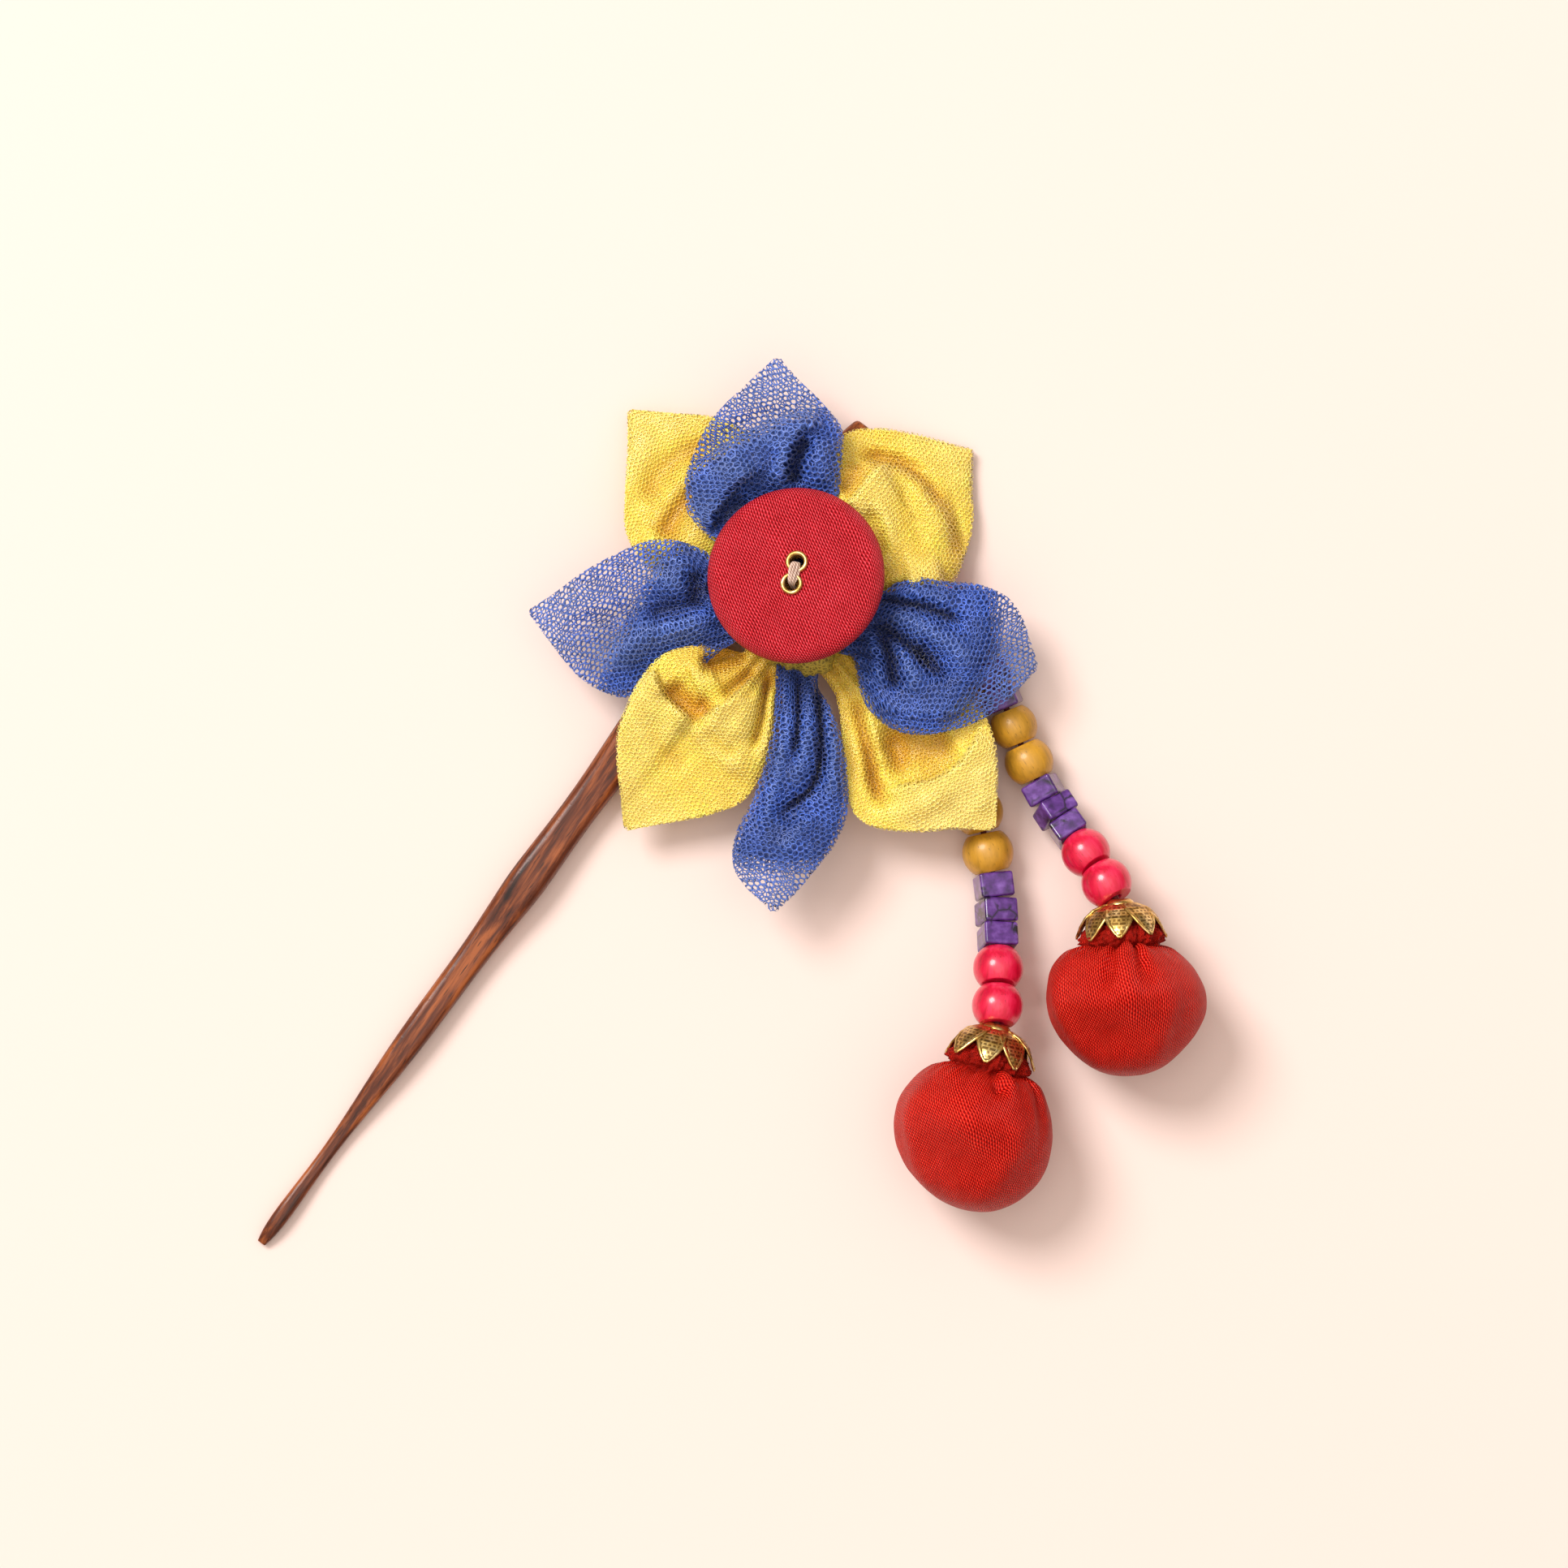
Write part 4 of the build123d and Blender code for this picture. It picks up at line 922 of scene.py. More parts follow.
def leaf_mesh():
    """One pointed leaf of the caps, bent over the dome, with a raised rim and coordinates to engrave it."""
    bm = bmesh.new()
    bmesh.ops.create_grid(bm, x_segments=26, y_segments=40, size=0.5)
    leaf = bm.loops.layers.uv.new("Leaf")
    share = bm.loops.layers.uv.new("Share")
    widths = ([0, 0.14, 0.3, 0.5, 0.7, 0.86, 0.95, 1.0], [0.5, 1.75, 2.3, 2.2, 1.65, 0.95, 0.42, 0.08])
    for face in bm.faces:
        for loop in face.loops:
            s = loop.vert.co.y + 0.5
            t = 2 * loop.vert.co.x
            loop[leaf].uv = (t * np.interp(s, *widths), 8 * s)
            loop[share].uv = (abs(t), s)
    for vertex in bm.verts:
        s = vertex.co.y + 0.5
        t = 2 * vertex.co.x
        reach = 0.95 + 7.7 * s
        half = np.interp(s, *widths)
        rim = np.exp(-(((abs(t) - 0.9) / 0.1) ** 2)) + np.exp(-(((s - 0.98) / 0.03) ** 2))
        lift = 0.2 * min(rim, 1) + 0.12 * (1 - t * t)
        down = max(reach - 1.0, 0) ** 1.35 * 0.34
        radius = cap_radius(min(down, 5.6)) + 0.05 + 0.5 * max(s - 0.8, 0)
        angle = t * half / max(radius, 1.0)
        out = radius + lift * 0.85
        vertex.co = (out * sin(angle), out * cos(angle), -down + lift * 0.45)
    bmesh.ops.recalc_face_normals(bm, faces=bm.faces)
    bmesh.ops.solidify(bm, geom=bm.faces[:], thickness=0.25)
    return mesh_from(bm, "leaf")


def cap_mesh(tassel):
    """The crown of pointed leaves round a small collar."""
    axis, side, up = tassel_frame(tassel)
    leaf = leaf_mesh()
    bm = bmesh.new()
    for number in range(CAP_LEAVES):
        start = len(bm.verts)
        bm.from_mesh(leaf)
        bm.verts.ensure_lookup_table()
        new = bm.verts[start:]
        angle = radians(-7 + 360 * number / CAP_LEAVES + 3 * sin(2.3 * number))
        lean = Matrix.Rotation(radians(2.5 * sin(4.1 * number + axis.x * 9)), 3, "X")
        bmesh.ops.rotate(bm, verts=new, cent=(0, 0, -1), matrix=lean)
        bmesh.ops.rotate(bm, verts=new, cent=(0, 0, 0), matrix=Matrix.Rotation(angle, 3, "Z"))
    bpy.data.meshes.remove(leaf)
    profile = [(0.9, 0.3), (1.0, 0.95), (1.6, 1.0), (2.1, 0.6), (2.5, -0.1), (2.3, -0.4), (1.0, -0.2)]
    collar = spun(profile, 60)
    shape = bpy.data.meshes.new("collar")
    bmesh.ops.holes_fill(collar, edges=[edge for edge in collar.edges if edge.is_boundary], sides=0)
    collar.to_mesh(shape)
    collar.free()
    bm.from_mesh(shape)
    bpy.data.meshes.remove(shape)
    turn = Matrix((side, axis.cross(side), axis)).transposed().to_4x4()
    bmesh.ops.transform(bm, matrix=turn, verts=bm.verts)
    settle(bm, tassel.start)
    return mesh_from(bm, "cap")


SOCKETS = {
    "rough": "Roughness",
    "specular": "Specular IOR Level",
    "sheen": "Sheen Weight",
    "sheen_rough": "Sheen Roughness",
    "coat": "Coat Weight",
    "coat_rough": "Coat Roughness",
    "metal": "Metallic",
}


def feed(tree, node, inputs):
    """Fills a node's inputs, by name or number, from sockets, plain numbers or plain colours."""
    for key, value in inputs.items():
        socket = node.inputs[key]
        if isinstance(value, bpy.types.NodeSocket):
            tree.links.new(value, socket)
        elif socket.type == "RGBA":
            socket.default_value = (*value, 1)
        else:
            socket.default_value = value


def add(tree, kind, inputs=(), **settings):
    """A node with its settings and its inputs filled."""
    node = tree.nodes.new(kind)
    for key, value in settings.items():
        setattr(node, key, value)
    feed(tree, node, dict(inputs))
    return node


def new_material(name):
    """A material with its node tree and its shader."""
    material = bpy.data.materials.new(name)
    material.use_nodes = True
    tree = material.node_tree
    tree.nodes.clear()
    shader = add(tree, "ShaderNodeBsdfPrincipled")
    add(tree, "ShaderNodeOutputMaterial", {0: shader.outputs[0]})
    return material, tree, shader


def finished(material, shader, colour, height, strength, distance, **finish):
    """Gives a material its colour, its bumps, whose distance is in metres, and its finish."""
    tree = material.node_tree
    bumps = add(tree, "ShaderNodeBump", {"Strength": strength, "Distance": distance, "Height": height})
    feed(tree, shader, {"Base Color": colour, "Normal": bumps.outputs[0]})
    feed(tree, shader, {SOCKETS[key]: value for key, value in finish.items()})
    return material


def math_node(tree, operation, *values):
    """A math node's result, from sockets and plain numbers."""
    return add(tree, "ShaderNodeMath", enumerate(values), operation=operation).outputs[0]


def weighed(tree, first, share, second):
    """The first value by its share and the second by the rest of one."""
    rest = math_node(tree, "MULTIPLY", second, 1 - share)
    return math_node(tree, "ADD", math_node(tree, "MULTIPLY", first, share), rest)


def ramp(tree, value, stops):
    """A colour ramp of (place, colour) stops, in which a plain number is a grey."""
    node = add(tree, "ShaderNodeValToRGB", {0: value})
    elements = node.color_ramp.elements
    while len(elements) < len(stops):
        elements.new(0.5)
    for element, (place, colour) in zip(elements, stops):
        element.position = place
        element.color = (*colour, 1) if isinstance(colour, tuple) else (colour, colour, colour, 1)
    return node.outputs[0]


def mixed(tree, share, first, second, blend="MIX"):
    """A mix of two colours, each a socket or a plain colour."""
    inputs = {0: share, 6: first, 7: second}
    return add(tree, "ShaderNodeMix", inputs, data_type="RGBA", blend_type=blend).outputs[2]


def placed_coordinates(tree, place=(0, 0, 0), turn=0.0, scale=(1, 1, 1), kind="Object"):
    source = add(tree, "ShaderNodeTexCoord").outputs[kind]
    inputs = {"Vector": source, "Location": place, "Rotation": (0, 0, turn), "Scale": scale}
    return add(tree, "ShaderNodeMapping", inputs, vector_type="TEXTURE").outputs[0]


def noise_of(tree, vector, scale, detail=3.0, rough=0.5, distortion=0.0):
    inputs = {"Vector": vector, "Scale": scale, "Detail": detail, "Roughness": rough}
    return add(tree, "ShaderNodeTexNoise", {**inputs, "Distortion": distortion}).outputs[0]


def grain_of(tree, place, turn, size, *settings):
    """Noise that is drawn out along a piece of wood, over so many metres along it and across it."""
    long, wide = size
    return noise_of(tree, placed_coordinates(tree, place, turn, (long, wide, wide)), 1.0, *settings)


def cell_edges(tree, vector, scale):
    """How far a place is from the edges of irregular cells."""
    inputs = {"Vector": vector, "Scale": scale}
    return add(tree, "ShaderNodeTexVoronoi", inputs, feature="DISTANCE_TO_EDGE").outputs["Distance"]


def bent(tree, place, warp, pull):
    """Coordinates that a noise pulls out of line."""
    inputs = {0: warp, 1: pull, 2: place}
    return add(tree, "ShaderNodeVectorMath", inputs, operation="MULTIPLY_ADD").outputs[0]


def colour_of(*values):
    """A colour from 0 to 255 as it shows, as the linear colour that shaders take."""
    return tuple((v / 255 / 12.92) if v < 10 else ((v / 255 + 0.055) / 1.055) ** 2.4 for v in values)


def shaded(colour, share):
    return tuple(min(v * share, 1.0) for v in colour)


def twill_group(pitch):
    """The height of a twill cloth from coordinates in mm: two sets of threads and the ribs that they make."""
    group = bpy.data.node_groups.new("twill", "ShaderNodeTree")
    group.interface.new_socket("Vector", in_out="INPUT", socket_type="NodeSocketVector")
    group.interface.new_socket("Height", in_out="OUTPUT", socket_type="NodeSocketFloat")
    parts = add(group, "ShaderNodeSeparateXYZ", {0: add(group, "NodeGroupInput").outputs[0]})
    first, second = (math_node(group, "MULTIPLY", parts.outputs[k], 2 * pi / pitch) for k in (0, 1))
    ribs = math_node(group, "SINE", math_node(group, "ADD", first, second))
    threads = math_node(group, "ADD", math_node(group, "SINE", first), math_node(group, "SINE", second))
    cloth = math_node(group, "MULTIPLY_ADD", threads, 0.11, 0.5)
    add(group, "NodeGroupOutput", {0: math_node(group, "MULTIPLY_ADD", ribs, 0.28, cloth)})
    return group


def toned(tree, colour, pale, deep):
    """A net's colour: paler where it is single and deeper where it is packed, with a painted light on the
    creases' ridges and a painted shade in their valleys.
    """
    depth = add(tree, "ShaderNodeAttribute", attribute_name="Depth").outputs["Fac"]
    high = ramp(tree, depth, [(0.1, 0.62), (0.45, 0)])
    low = ramp(tree, depth, [(0.5, 0), (0.95, 0.85)])
    return mixed(tree, low, mixed(tree, high, colour, pale), deep)


def net_material(name, dark, middle, light, shine, tones):
    """Dyed nylon thread: shiny, with its colour a little uneven."""
    material, tree, shader = new_material(name)
    place = placed_coordinates(tree)
    fibres = noise_of(tree, place, 2600, 2)
    level = weighed(tree, noise_of(tree, place, 180, 3), 0.45, fibres)
    colour = toned(tree, ramp(tree, level, [(0.36, dark), (0.5, middle), (0.66, light)]), *tones)
    finish = {"rough": shine[0], "specular": shine[1], "sheen": 0.25, "sheen_rough": 0.4}
    return finished(material, shader, colour, fibres, 0.4, 0.00008, **finish)


def lining_material(name, shaded_hollow, strand, light, cell, rough, tones=None):
    """Packed layers of net seen through the outer one: a mesh of strands over darker hollows, whose darkness
    is a painted shade.
    """
    material, tree, shader = new_material(name)
    place = placed_coordinates(tree)
    lines = ramp(tree, cell_edges(tree, place, 1000 / cell), [(0.0, 1), (0.12, 0.6), (0.24, 0)])
    # The hollows between the strands take the darker colour: painted shade.
    colour = mixed(tree, lines, shaded_hollow, mixed(tree, noise_of(tree, place, 320, 3), strand, light))
    if tones:
        colour = toned(tree, colour, *tones)
    return finished(material, shader, colour, lines, 0.5, 0.0002, rough=rough)


def woven_material(name, colours, pitch, turn, pull):
    """Twill cloth whose threads show as ribs of short floats, pulled out of line by so many mm. Its colours
    run from a painted shade between the ribs to a painted highlight on the floats, and broad patches of
    painted light and shade stand for the cloth's folds.
    """
    material, tree, shader = new_material(name)
    place = placed_coordinates(tree, turn=radians(turn), kind="UV")
    slope = placed_coordinates(tree, turn=radians(turn - 45), scale=(1.2, 0.25, 1), kind="UV")
    pulled = bent(tree, place, noise_of(tree, place, 0.13, 2), (pull, pull, 0))
    threads = add(tree, "ShaderNodeGroup", {0: pulled}, node_tree=twill_group(pitch)).outputs[0]
    level = weighed(tree, threads, 0.74, noise_of(tree, slope, 1.0, 2))
    # Dark between the ribs and bright on the floats: painted shade and painted highlight.
    colour = ramp(tree, level, list(zip((0.26, 0.52, 0.8), colours)))
    # Broad random patches lighten and darken the cloth: painted light and shade for the folds' shading.
    painted_fold_shading = ramp(tree, noise_of(tree, place, 0.2, 3), [(0.3, 0.3), (0.7, 0.62)])
    colour = mixed(tree, 0.7, colour, painted_fold_shading, "SOFT_LIGHT")
    return finished(material, shader, colour, level, 1.0, 0.0003, rough=0.4, specular=0.12)


def brass_material(name="antiqued brass", engraved=False):
    """Old brass, bright where it is rubbed and brown elsewhere. The leaves have an engraved key pattern."""
    material, tree, shader = new_material(name)
    place = placed_coordinates(tree)
    patches = noise_of(tree, place, 420, 5, 0.65)
    height = noise_of(tree, place, 3000, 3)
    dark = colour_of(96, 64, 24)
    stops = [(0.3, dark), (0.47, colour_of(212, 172, 96)), (0.72, colour_of(252, 232, 172))]
    colour = ramp(tree, patches, stops)
    strength, distance = (0.7, 0.0002) if engraved else (0.25, 0.00006)
    if engraved:
        leaf, share = (add(tree, "ShaderNodeUVMap", uv_map=layer).outputs[0] for layer in ("Leaf", "Share"))
        sizes = {"Vector": leaf, "Scale": 1.0, "Mortar Size": 0.16, "Brick Width": 1.15, "Row Height": 0.72}
        keys = add(tree, "ShaderNodeTexBrick", sizes, offset=0.5, squash_frequency=2, squash=0.62)
        shares = add(tree, "ShaderNodeSeparateXYZ", {0: share}).outputs
        ground = math_node(tree, "SUBTRACT", 1.0, keys.outputs["Fac"])
        for side, limit, across in (("LESS_THAN", 0.78, 0), ("GREATER_THAN", 0.2, 1), ("LESS_THAN", 0.9, 1)):
            ground = math_node(tree, "MULTIPLY", ground, math_node(tree, side, shares[across], limit))
        colour = mixed(tree, math_node(tree, "MULTIPLY", ground, 0.75), colour, dark)
        height = math_node(tree, "SUBTRACT", math_node(tree, "MULTIPLY", height, 0.2), ground)
    rough = ramp(tree, patches, [(0.3, 0.5), (0.6, 0.26)])
    return finished(material, shader, colour, height, strength, distance, rough=rough, metal=1.0)


def thread_material(name, dark, light, scale):
    """Twisted thread whose strands show as slanting lines."""
    material, tree, shader = new_material(name)
    place = placed_coordinates(tree, turn=radians(35))
    waves = {"Vector": place, "Scale": scale, "Distortion": 1.5, "Detail": 2.0}
    twist = add(tree, "ShaderNodeTexWave", waves).outputs[1]
    level = weighed(tree, twist, 0.6, noise_of(tree, place, 5200, 3))
    colour = ramp(tree, level, [(0.2, dark), (0.75, light)])
    return finished(material, shader, colour, level, 0.5, 0.0001, rough=0.55, sheen=0.3)


def stick_material():
    """Oiled hardwood whose grain, streaks and pores run along the stick."""
    material, tree, shader = new_material("oiled hardwood")
    (tip_x, tip_y), (head_x, head_y) = STICK_ENDS
    turn = float(np.arctan2(head_y - tip_y, head_x - tip_x))
    here = (0, 0, 0)
    grain = grain_of(tree, here, turn, (0.022, 0.0016), 6, 0.62, 0.35)
    streak = grain_of(tree, here, turn + 0.09, (0.02, 0.0009), 4, 0.6)
    pores = grain_of(tree, here, turn, (0.0035, 0.00022), 2)
    level = weighed(tree, grain, 0.6, streak)
    stops = [(0.36, colour_of(34, 12, 5)), (0.48, colour_of(98, 44, 20)), (0.6, colour_of(158, 84, 40))]
    dots = ramp(tree, pores, [(0.3, 1), (0.38, 0)])
    colour = mixed(tree, dots, ramp(tree, level, stops), colour_of(58, 27, 14))
    finish = {"rough": ramp(tree, level, [(0.3, 0.5), (0.7, 0.33)]), "specular": 0.22}
    finish.update(coat=0.26, coat_rough=0.22)
    return finished(material, shader, colour, level, 0.4, 0.00025, **finish)


def wood_bead_material(name, stops, place, heading, rough, coat):
    """Stained wood whose grain runs through the bead along its bore."""
    material, tree, shader = new_material(name)
    grain = grain_of(tree, place, heading, (0.006, 0.0011), 5, 0.6, 0.4)
    pores = grain_of(tree, place, heading + 0.12, (0.0017, 0.00028), 2)
    level = weighed(tree, grain, 0.75, noise_of(tree, placed_coordinates(tree, place), 260, 2))
    dots = math_node(tree, "MULTIPLY", ramp(tree, pores, [(0.26, 1), (0.34, 0)]), 0.7)
    colour = mixed(tree, dots, ramp(tree, level, stops), shaded(stops[0][1], 0.35))
    finish = {"rough": rough, "coat": coat, "coat_rough": 0.12}
    return finished(material, shader, colour, level, 0.12, 0.0002, **finish)


def stone_material():
    """Dyed stone: violet with black veins, polished."""
    material, tree, shader = new_material("violet veined stone")
    place = placed_coordinates(tree)
    warped = bent(tree, place, noise_of(tree, place, 300, 3), (0.0022, 0.0022, 0.0022))
    veins = ramp(tree, cell_edges(tree, warped, 260), [(0.0, 1), (0.035, 0.5), (0.09, 0)])
    thin = ramp(tree, noise_of(tree, place, 210, 2), [(0.44, 0), (0.58, 1)])
    clouds = noise_of(tree, place, 600, 4)
    stops = [(0.3, colour_of(54, 22, 84)), (0.5, colour_of(88, 44, 128)), (0.74, colour_of(126, 84, 172))]
    black = ramp(tree, noise_of(tree, warped, 190, 4, 0.6), [(0.57, 0), (0.64, 1)])
    dark = math_node(tree, "MAXIMUM", math_node(tree, "MULTIPLY", veins, thin), black)
    colour = mixed(tree, dark, ramp(tree, clouds, stops), colour_of(20, 13, 30))
    return finished(material, shader, colour, clouds, 0.1, 0.0001, rough=0.28, coat=0.5, coat_rough=0.08)


def paint_node(name, material):
    node = frame["nodes"][name]
    node.data.materials.clear()
    node.data.materials.append(material)


def node_middle(name):
    low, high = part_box(name)
    return (low + high) / 2


def bore_of(name, others):
    """A bead's middle and its bore's heading, which is towards one of its two neighbours."""
    middle = node_middle(name)
    away = {other: (node_middle(other) - middle).length for other in others}
    second = sorted(gap for other, gap in away.items() if "_ball" not in other)[1]
    near = next(other for other in others if away[other] <= second)
    toward = node_middle(near) - middle
    return middle, float(np.arctan2(toward.y, toward.x))


def length_property(name, about, value):
    return bpy.props.FloatProperty(name=name, description=about, default=value, unit="LENGTH", precision=5)


def colour_property(name, about, value):
    return bpy.props.FloatVectorProperty(name=name, description=about, size=3, subtype="COLOR", default=value)


class HAIRSTICK_PG_stage(bpy.types.PropertyGroup):
    camera_height: length_property("Camera height", "Height of the camera above the surface", 1.046)
    light_elevation: bpy.props.FloatProperty(
        name="Light elevation", description="Height of the key light", default=radians(52), subtype="ANGLE"
    )
    light_power: bpy.props.FloatProperty(
        name="Light power", description="Power of the key light", default=52.0, unit="POWER"
    )
    surface_colour: colour_property("Surface", "Colour of the surface it lies on", (0.86, 0.69, 0.64))


class HAIRSTICK_PG_net(bpy.types.PropertyGroup):
    blue_cell: length_property("Blue cell", "Width of a cell of the blue net", 0.00090)
    yellow_cell: length_property("Yellow cell", "Width of a cell of the yellow net", 0.00068)
    blue_strand: length_property("Blue strand", "Thickness of the blue net's strands", 0.00023)
    yellow_strand: length_property("Yellow strand", "Thickness of the yellow net's strands", 0.00019)
    blue: colour_property("Blue", "Colour of the blue net", colour_of(57, 89, 175))
    yellow: colour_property("Yellow", "Colour of the yellow net", colour_of(255, 222, 88))


class HAIRSTICK_PG_cloth(bpy.types.PropertyGroup):
    button: colour_property("Button", "Colour of the button's cover", colour_of(190, 8, 26))
    balls: colour_property("Balls", "Colour of the balls' cloth", colour_of(200, 8, 3))


class HAIRSTICK_PG_beads(bpy.types.PropertyGroup):
    pink: colour_property("Pink", "Stain of the pink beads", colour_of(212, 14, 58))
    yellow: colour_property("Yellow", "Stain of the yellow beads", colour_of(190, 138, 36))


class HAIRSTICK_OT_stage(bpy.types.Operator):
    """Makes the surface, the lights and the camera"""

    bl_idname = "hairstick.stage"
    bl_label = "Stage"

    def execute(self, context):
        settings = context.scene.hairstick_stage
        scene = context.scene
        scene.view_settings.view_transform = "Standard"
        bm = bmesh.new()
        bmesh.ops.create_grid(bm, x_segments=4, y_segments=4, size=1.5)
        mesh = bpy.data.meshes.new("surface")
        bm.to_mesh(mesh)
        bm.free()
        floor = bpy.data.objects.new("surface", mesh)
        scene.collection.objects.link(floor)
        material, tree, shader = new_material("pale paper")
        surface = {"Base Color": tuple(settings.surface_colour), "Roughness": 0.9, "Specular IOR Level": 0.1}
        feed(tree, shader, surface)
        mesh.materials.append(material)
        self.add_light(scene, "key light", 135, settings.light_elevation, 1.05, settings.light_power)
        self.add_light(scene, "fill light", 110, radians(86), 2.2, settings.light_power * FILL_SHARE)
        world = bpy.data.worlds.new("studio")
        world.use_nodes = True
        tree = world.node_tree
        ways = add(tree, "ShaderNodeTexCoord").outputs["Generated"]
        heights = add(tree, "ShaderNodeSeparateXYZ", {0: ways}).outputs[2]
        sky = ramp(tree, heights, [(0.25, (0.1, 0.09, 0.078)), (0.85, (0.9, 0.81, 0.71))])
        feed(tree, tree.nodes["Background"], {0: sky})
        scene.world = world
        camera = bpy.data.cameras.new("camera")
        camera.lens = 150
        camera.sensor_width = 36
        camera.clip_start = 0.01
        eye = bpy.data.objects.new("camera", camera)
        eye.location = (ORIGIN.x * MM, ORIGIN.y * MM, settings.camera_height)
        scene.collection.objects.link(eye)
        scene.camera = eye
        return {"FINISHED"}

    def add_light(self, scene, name, around, elevation, size, power):
        data = bpy.data.lights.new(name, "AREA")
        data.shape = "DISK"
        data.size = size
        data.energy = power
        data.color = (1.0, 0.985, 0.96)
        lamp = bpy.data.objects.new(name, data)
        turn = radians(around)
        direction = Vector((cos(turn) * cos(elevation), sin(turn) * cos(elevation), sin(elevation)))
        lamp.location = LIT_PLACE + direction * LIGHT_DISTANCE
        lamp.rotation_euler = direction.to_track_quat("Z", "Y").to_euler()
        scene.collection.objects.link(lamp)


class HAIRSTICK_OT_petals(bpy.types.Operator):
    """Makes the eight petals of folded net"""

    bl_idname = "hairstick.petals"
    bl_label = "Petals"

    def execute(self, context):
        settings = context.scene.hairstick_net
        blue = tuple(settings.blue)
        yellow = tuple(settings.yellow)
        # Each pair is a pale and a deep tone: pale for single net and painted light on ridges, deep for
        # packed net and painted shade in creases.
        blues = (colour_of(108, 136, 206), colour_of(24, 40, 104))
        yellows = (colour_of(255, 236, 148), colour_of(226, 166, 24))
        blue_net = net_material("blue net", shaded(blue, 0.65), blue, shaded(blue, 2.0), (0.34, 0.6), blues)
        # The darkest of these copies is the painted shade in the lining's hollows.
        blue_shades = [shaded(blue, share) for share in (0.5, 0.95, 1.4)]
        blue_inside = lining_material("blue net inside", *blue_shades, 0.9, 0.5, blues)
        yellow_shades = [shaded(yellow, 0.95), yellow, shaded(yellow, 1.3)]
        yellow_net = net_material("yellow net", *yellow_shades, (0.2, 0.95), yellows)
        yellow_shades = [yellow, shaded(yellow, 1.1), shaded(yellow, 1.25)]
        yellow_inside = lining_material("yellow net inside", *yellow_shades, 0.6, 0.42, yellows)
        nets = {
            "blue": (BLUE_LAYERS, (blue_net, blue_inside)),
            "yellow": (YELLOW_LAYERS, (yellow_net, yellow_inside)),
        }
        for number, (name, petal) in enumerate(PETALS.items()):
            colour = "blue" if "blue" in name else "yellow"
            layers, materials = nets[colour]
            cell = getattr(settings, colour + "_cell") / MM
            strand = getattr(settings, colour + "_strand") / MM
            meshes = []
            for k, layer in enumerate(layers):
                meshes.append(net_layer(petal, layer, cell, strand, number + 3 * k))
            meshes.append(lining(petal, colour == "yellow"))
            mesh = joined(meshes, name + "_net")
            mark_packing_and_fold_shade(mesh, petal)
            for material in materials:
                mesh.materials.append(material)
            side = sqrt(area_of(mesh) / 2)
            piece = add_piece(name + "_net", mesh, [name])
        return {"FINISHED"}


class HAIRSTICK_OT_core(bpy.types.Operator):
    """Makes the gathered pad in the middle of the flower"""

    bl_idname = "hairstick.core"
    bl_label = "Gathered pad"

    def execute(self, context):
        yellow = tuple(context.scene.hairstick_net.yellow)
        piece = add_piece("flower_gathers", core_mesh(), ["flower_core"])
        # Darker copies of the yellow for the pad: a painted shade for the shadow under the button.
        painted_shade_yellows = [shaded(yellow, share) for share in (0.22, 0.5, 0.75)]
        piece.data.materials.append(lining_material("gathered net", *painted_shade_yellows, 0.7, 0.6))
        return {"FINISHED"}


class HAIRSTICK_OT_button(bpy.types.Operator):
    """Makes the button's cloth cover, its eyelets and the thread that sews it on"""

    bl_idname = "hairstick.button"
    bl_label = "Covered button"

    def execute(self, context):
        crimson = tuple(context.scene.hairstick_cloth.button)
        cover = add_piece("button_cover", button_mesh(), ["button"])
        cover.data.materials.clear()
        # Dark, middle and bright crimson: the dark is painted shade between the ribs, the bright a painted
        # highlight on the floats.
        colours = (shaded(crimson, 0.32), crimson, colour_of(246, 92, 106))
        cover.data.materials.append(woven_material("crimson twill", colours, 0.545, -21.5, 1.2))
        brass = brass_material()
        for name, place in zip(("button_eyelet_upper", "button_eyelet_lower"), eyelet_places()):
            rim = add_piece(name + "_rim", eyelet_mesh(place), [name])
            rim.data.materials.append(brass)
        thread = add_piece("button_sewing_thread", sewing_thread_mesh(), ["button_thread"])
        colours = (colour_of(178, 140, 122), colour_of(236, 208, 192))
        thread.data.materials.append(thread_material("sewing thread", *colours, 900))
        return {"FINISHED"}


class HAIRSTICK_OT_tassels(bpy.types.Operator):
    """Makes the stuffed balls and their leaf caps"""

    bl_idname = "hairstick.tassels"
    bl_label = "Balls and caps"

    def execute(self, context):
        red = tuple(context.scene.hairstick_cloth.balls)
        brass = brass_material("engraved brass", engraved=True)
        for name, tassel in TASSELS.items():
            ball = add_piece(name + "_ball_cloth", ball_mesh(name, tassel), [name + "_ball"])
            # Dark, middle and bright red: the dark is painted shade between the ribs, the bright a painted
            # highlight on the floats.
            colours = (shaded(red, 0.34), red, colour_of(255, 74, 54))
            cloth = woven_material(name + " ball cloth", colours, 0.51, BALL_TWILL_TURNS[name], 1.6)
            ball.data.materials.append(cloth)
            cap = add_piece(name + "_cap_leaves", cap_mesh(tassel), [name + "_cap"])
            cap.data.materials.append(brass)
        return {"FINISHED"}


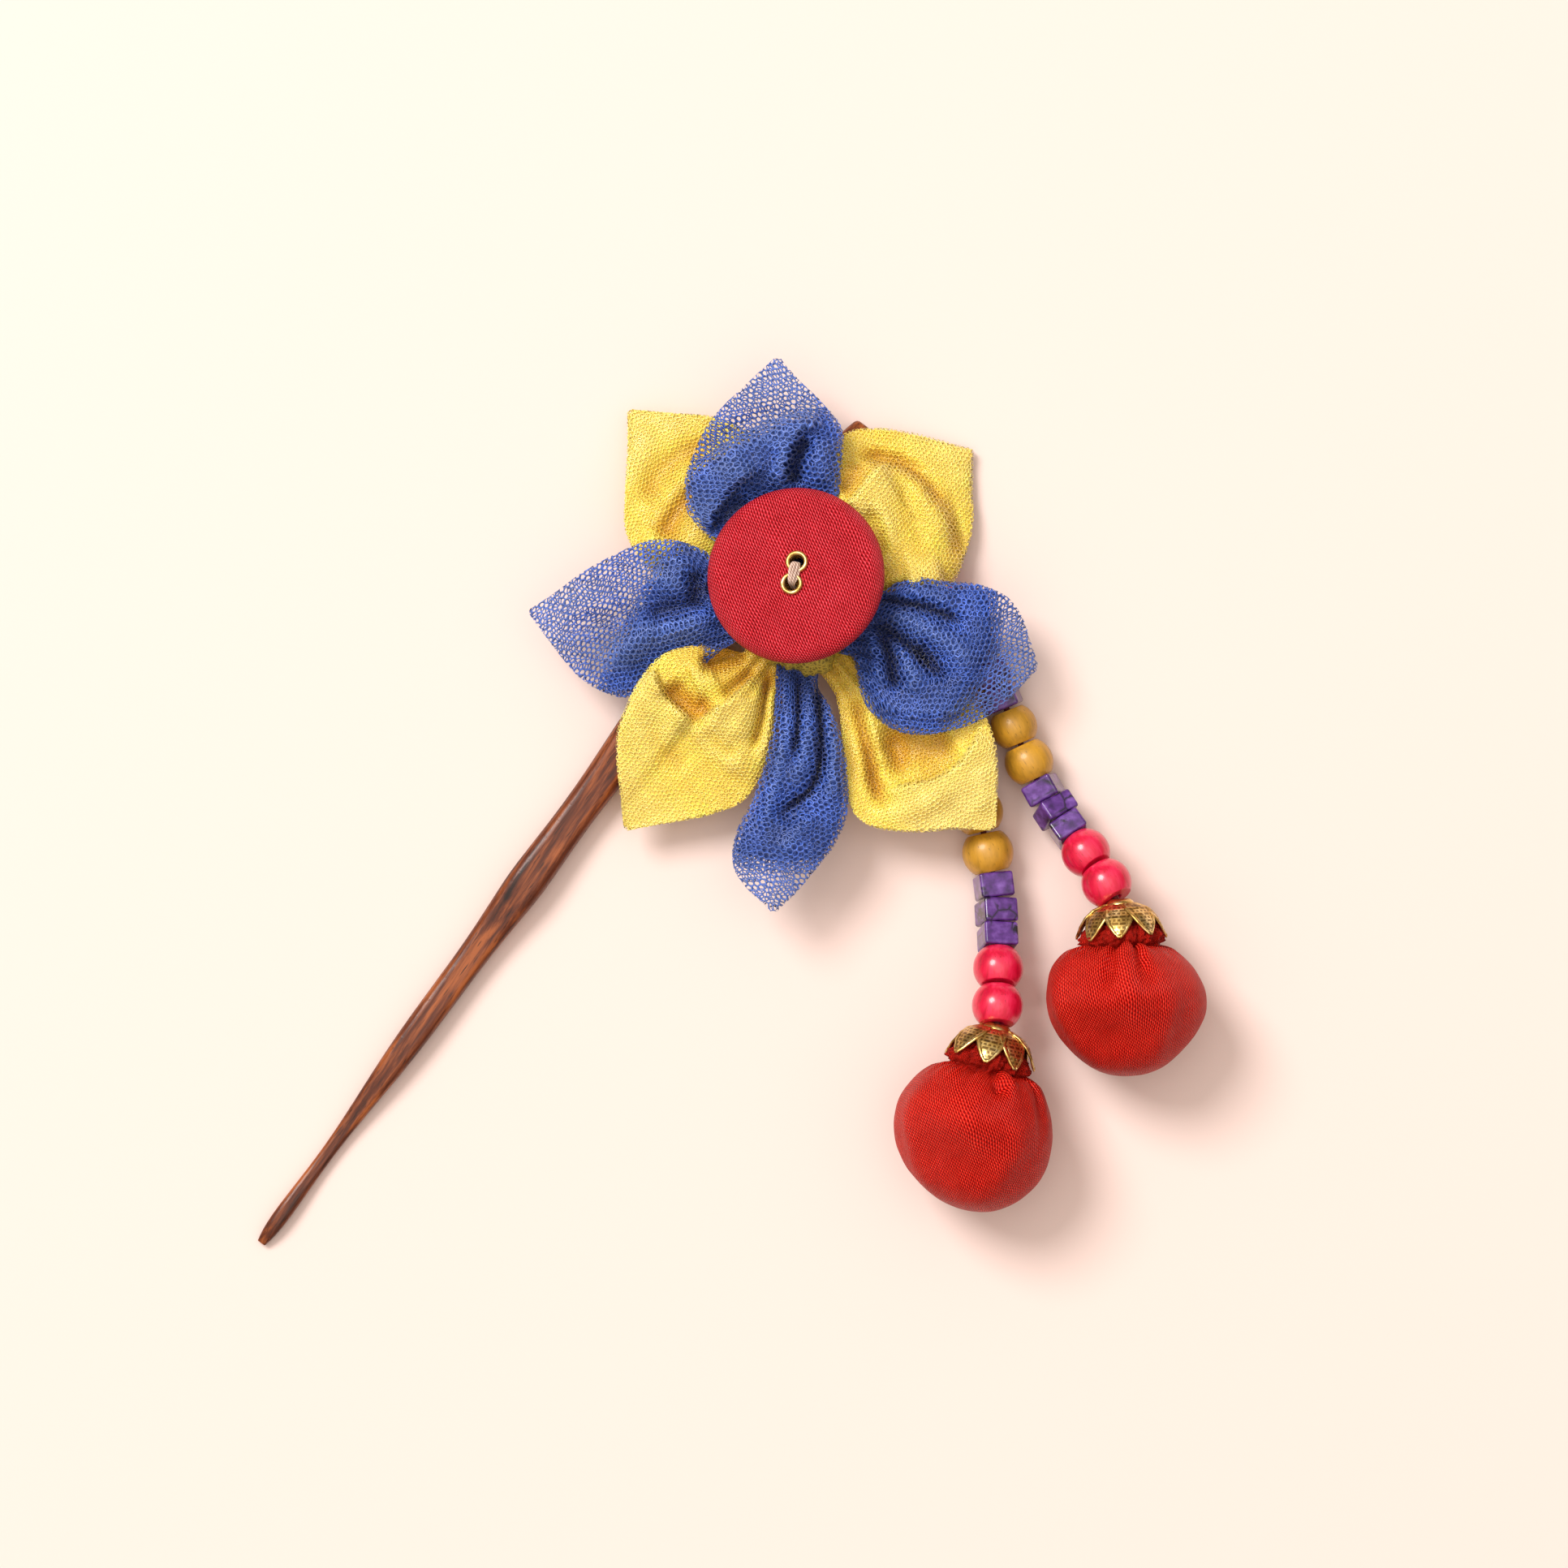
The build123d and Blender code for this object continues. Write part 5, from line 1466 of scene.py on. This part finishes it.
class HAIRSTICK_OT_finishes(bpy.types.Operator):
    """Gives the stick, the beads and the bead threads their finishes"""

    bl_idname = "hairstick.finishes"
    bl_label = "Wood, stone and thread"

    def execute(self, context):
        settings = context.scene.hairstick_beads
        pink = tuple(settings.pink)
        yellow = tuple(settings.yellow)
        paint_node("stick", stick_material())
        stone = stone_material()
        cord = thread_material("bead thread", colour_of(70, 12, 16), colour_of(140, 30, 34), 1200)
        pinks = [(0.28, shaded(pink, 0.45)), (0.46, pink), (0.68, colour_of(236, 48, 92))]
        yellows = [(0.3, shaded(yellow, 0.6)), (0.48, yellow), (0.68, shaded(yellow, 1.25))]
        for strand in ("inner", "outer"):
            names = [name for name in frame["nodes"] if name.startswith(strand + "_")]
            paint_node(strand + "_thread", cord)
            for name in names:
                if "purple" in name:
                    paint_node(name, stone)
                elif "pink" in name or "yellow" in name:
                    middle, heading = bore_of(name, [other for other in names if other != name])
                    stops, rough, coat = (pinks, 0.3, 0.4) if "pink" in name else (yellows, 0.42, 0.2)
                    paint_node(name, wood_bead_material(name + " wood", stops, middle, heading, rough, coat))
        return {"FINISHED"}


class HAIRSTICK_PT_panel(bpy.types.Panel):
    """Lists the steps that build the hair stick"""

    bl_idname = "HAIRSTICK_PT_panel"
    bl_label = "Hair Stick"
    bl_space_type = "VIEW_3D"
    bl_region_type = "UI"
    bl_category = "Hair Stick"

    def draw(self, context):
        layout = self.layout
        for holder, group in GROUPS.items():
            settings = getattr(context.scene, holder)
            for key in group.__annotations__:
                layout.prop(settings, key)
        for operator in OPERATORS:
            layout.operator(operator.bl_idname)


GROUPS = {
    "hairstick_stage": HAIRSTICK_PG_stage,
    "hairstick_net": HAIRSTICK_PG_net,
    "hairstick_cloth": HAIRSTICK_PG_cloth,
    "hairstick_beads": HAIRSTICK_PG_beads,
}
OPERATORS = (
    HAIRSTICK_OT_stage,
    HAIRSTICK_OT_petals,
    HAIRSTICK_OT_core,
    HAIRSTICK_OT_button,
    HAIRSTICK_OT_tassels,
    HAIRSTICK_OT_finishes,
)


def register():
    for group in GROUPS.values():
        bpy.utils.register_class(group)
    for operator in OPERATORS:
        bpy.utils.register_class(operator)
    bpy.utils.register_class(HAIRSTICK_PT_panel)
    for holder, group in GROUPS.items():
        setattr(bpy.types.Scene, holder, bpy.props.PointerProperty(type=group))


def unregister():
    for holder in GROUPS:
        delattr(bpy.types.Scene, holder)
    bpy.utils.unregister_class(HAIRSTICK_PT_panel)
    for operator in reversed(OPERATORS):
        bpy.utils.unregister_class(operator)
    for group in reversed(GROUPS.values()):
        bpy.utils.unregister_class(group)


def main():
    register()
    for name in ("stage", "petals", "core", "button", "tassels", "finishes"):
        getattr(bpy.ops.hairstick, name)()


if __name__ == "__main__":
    main()
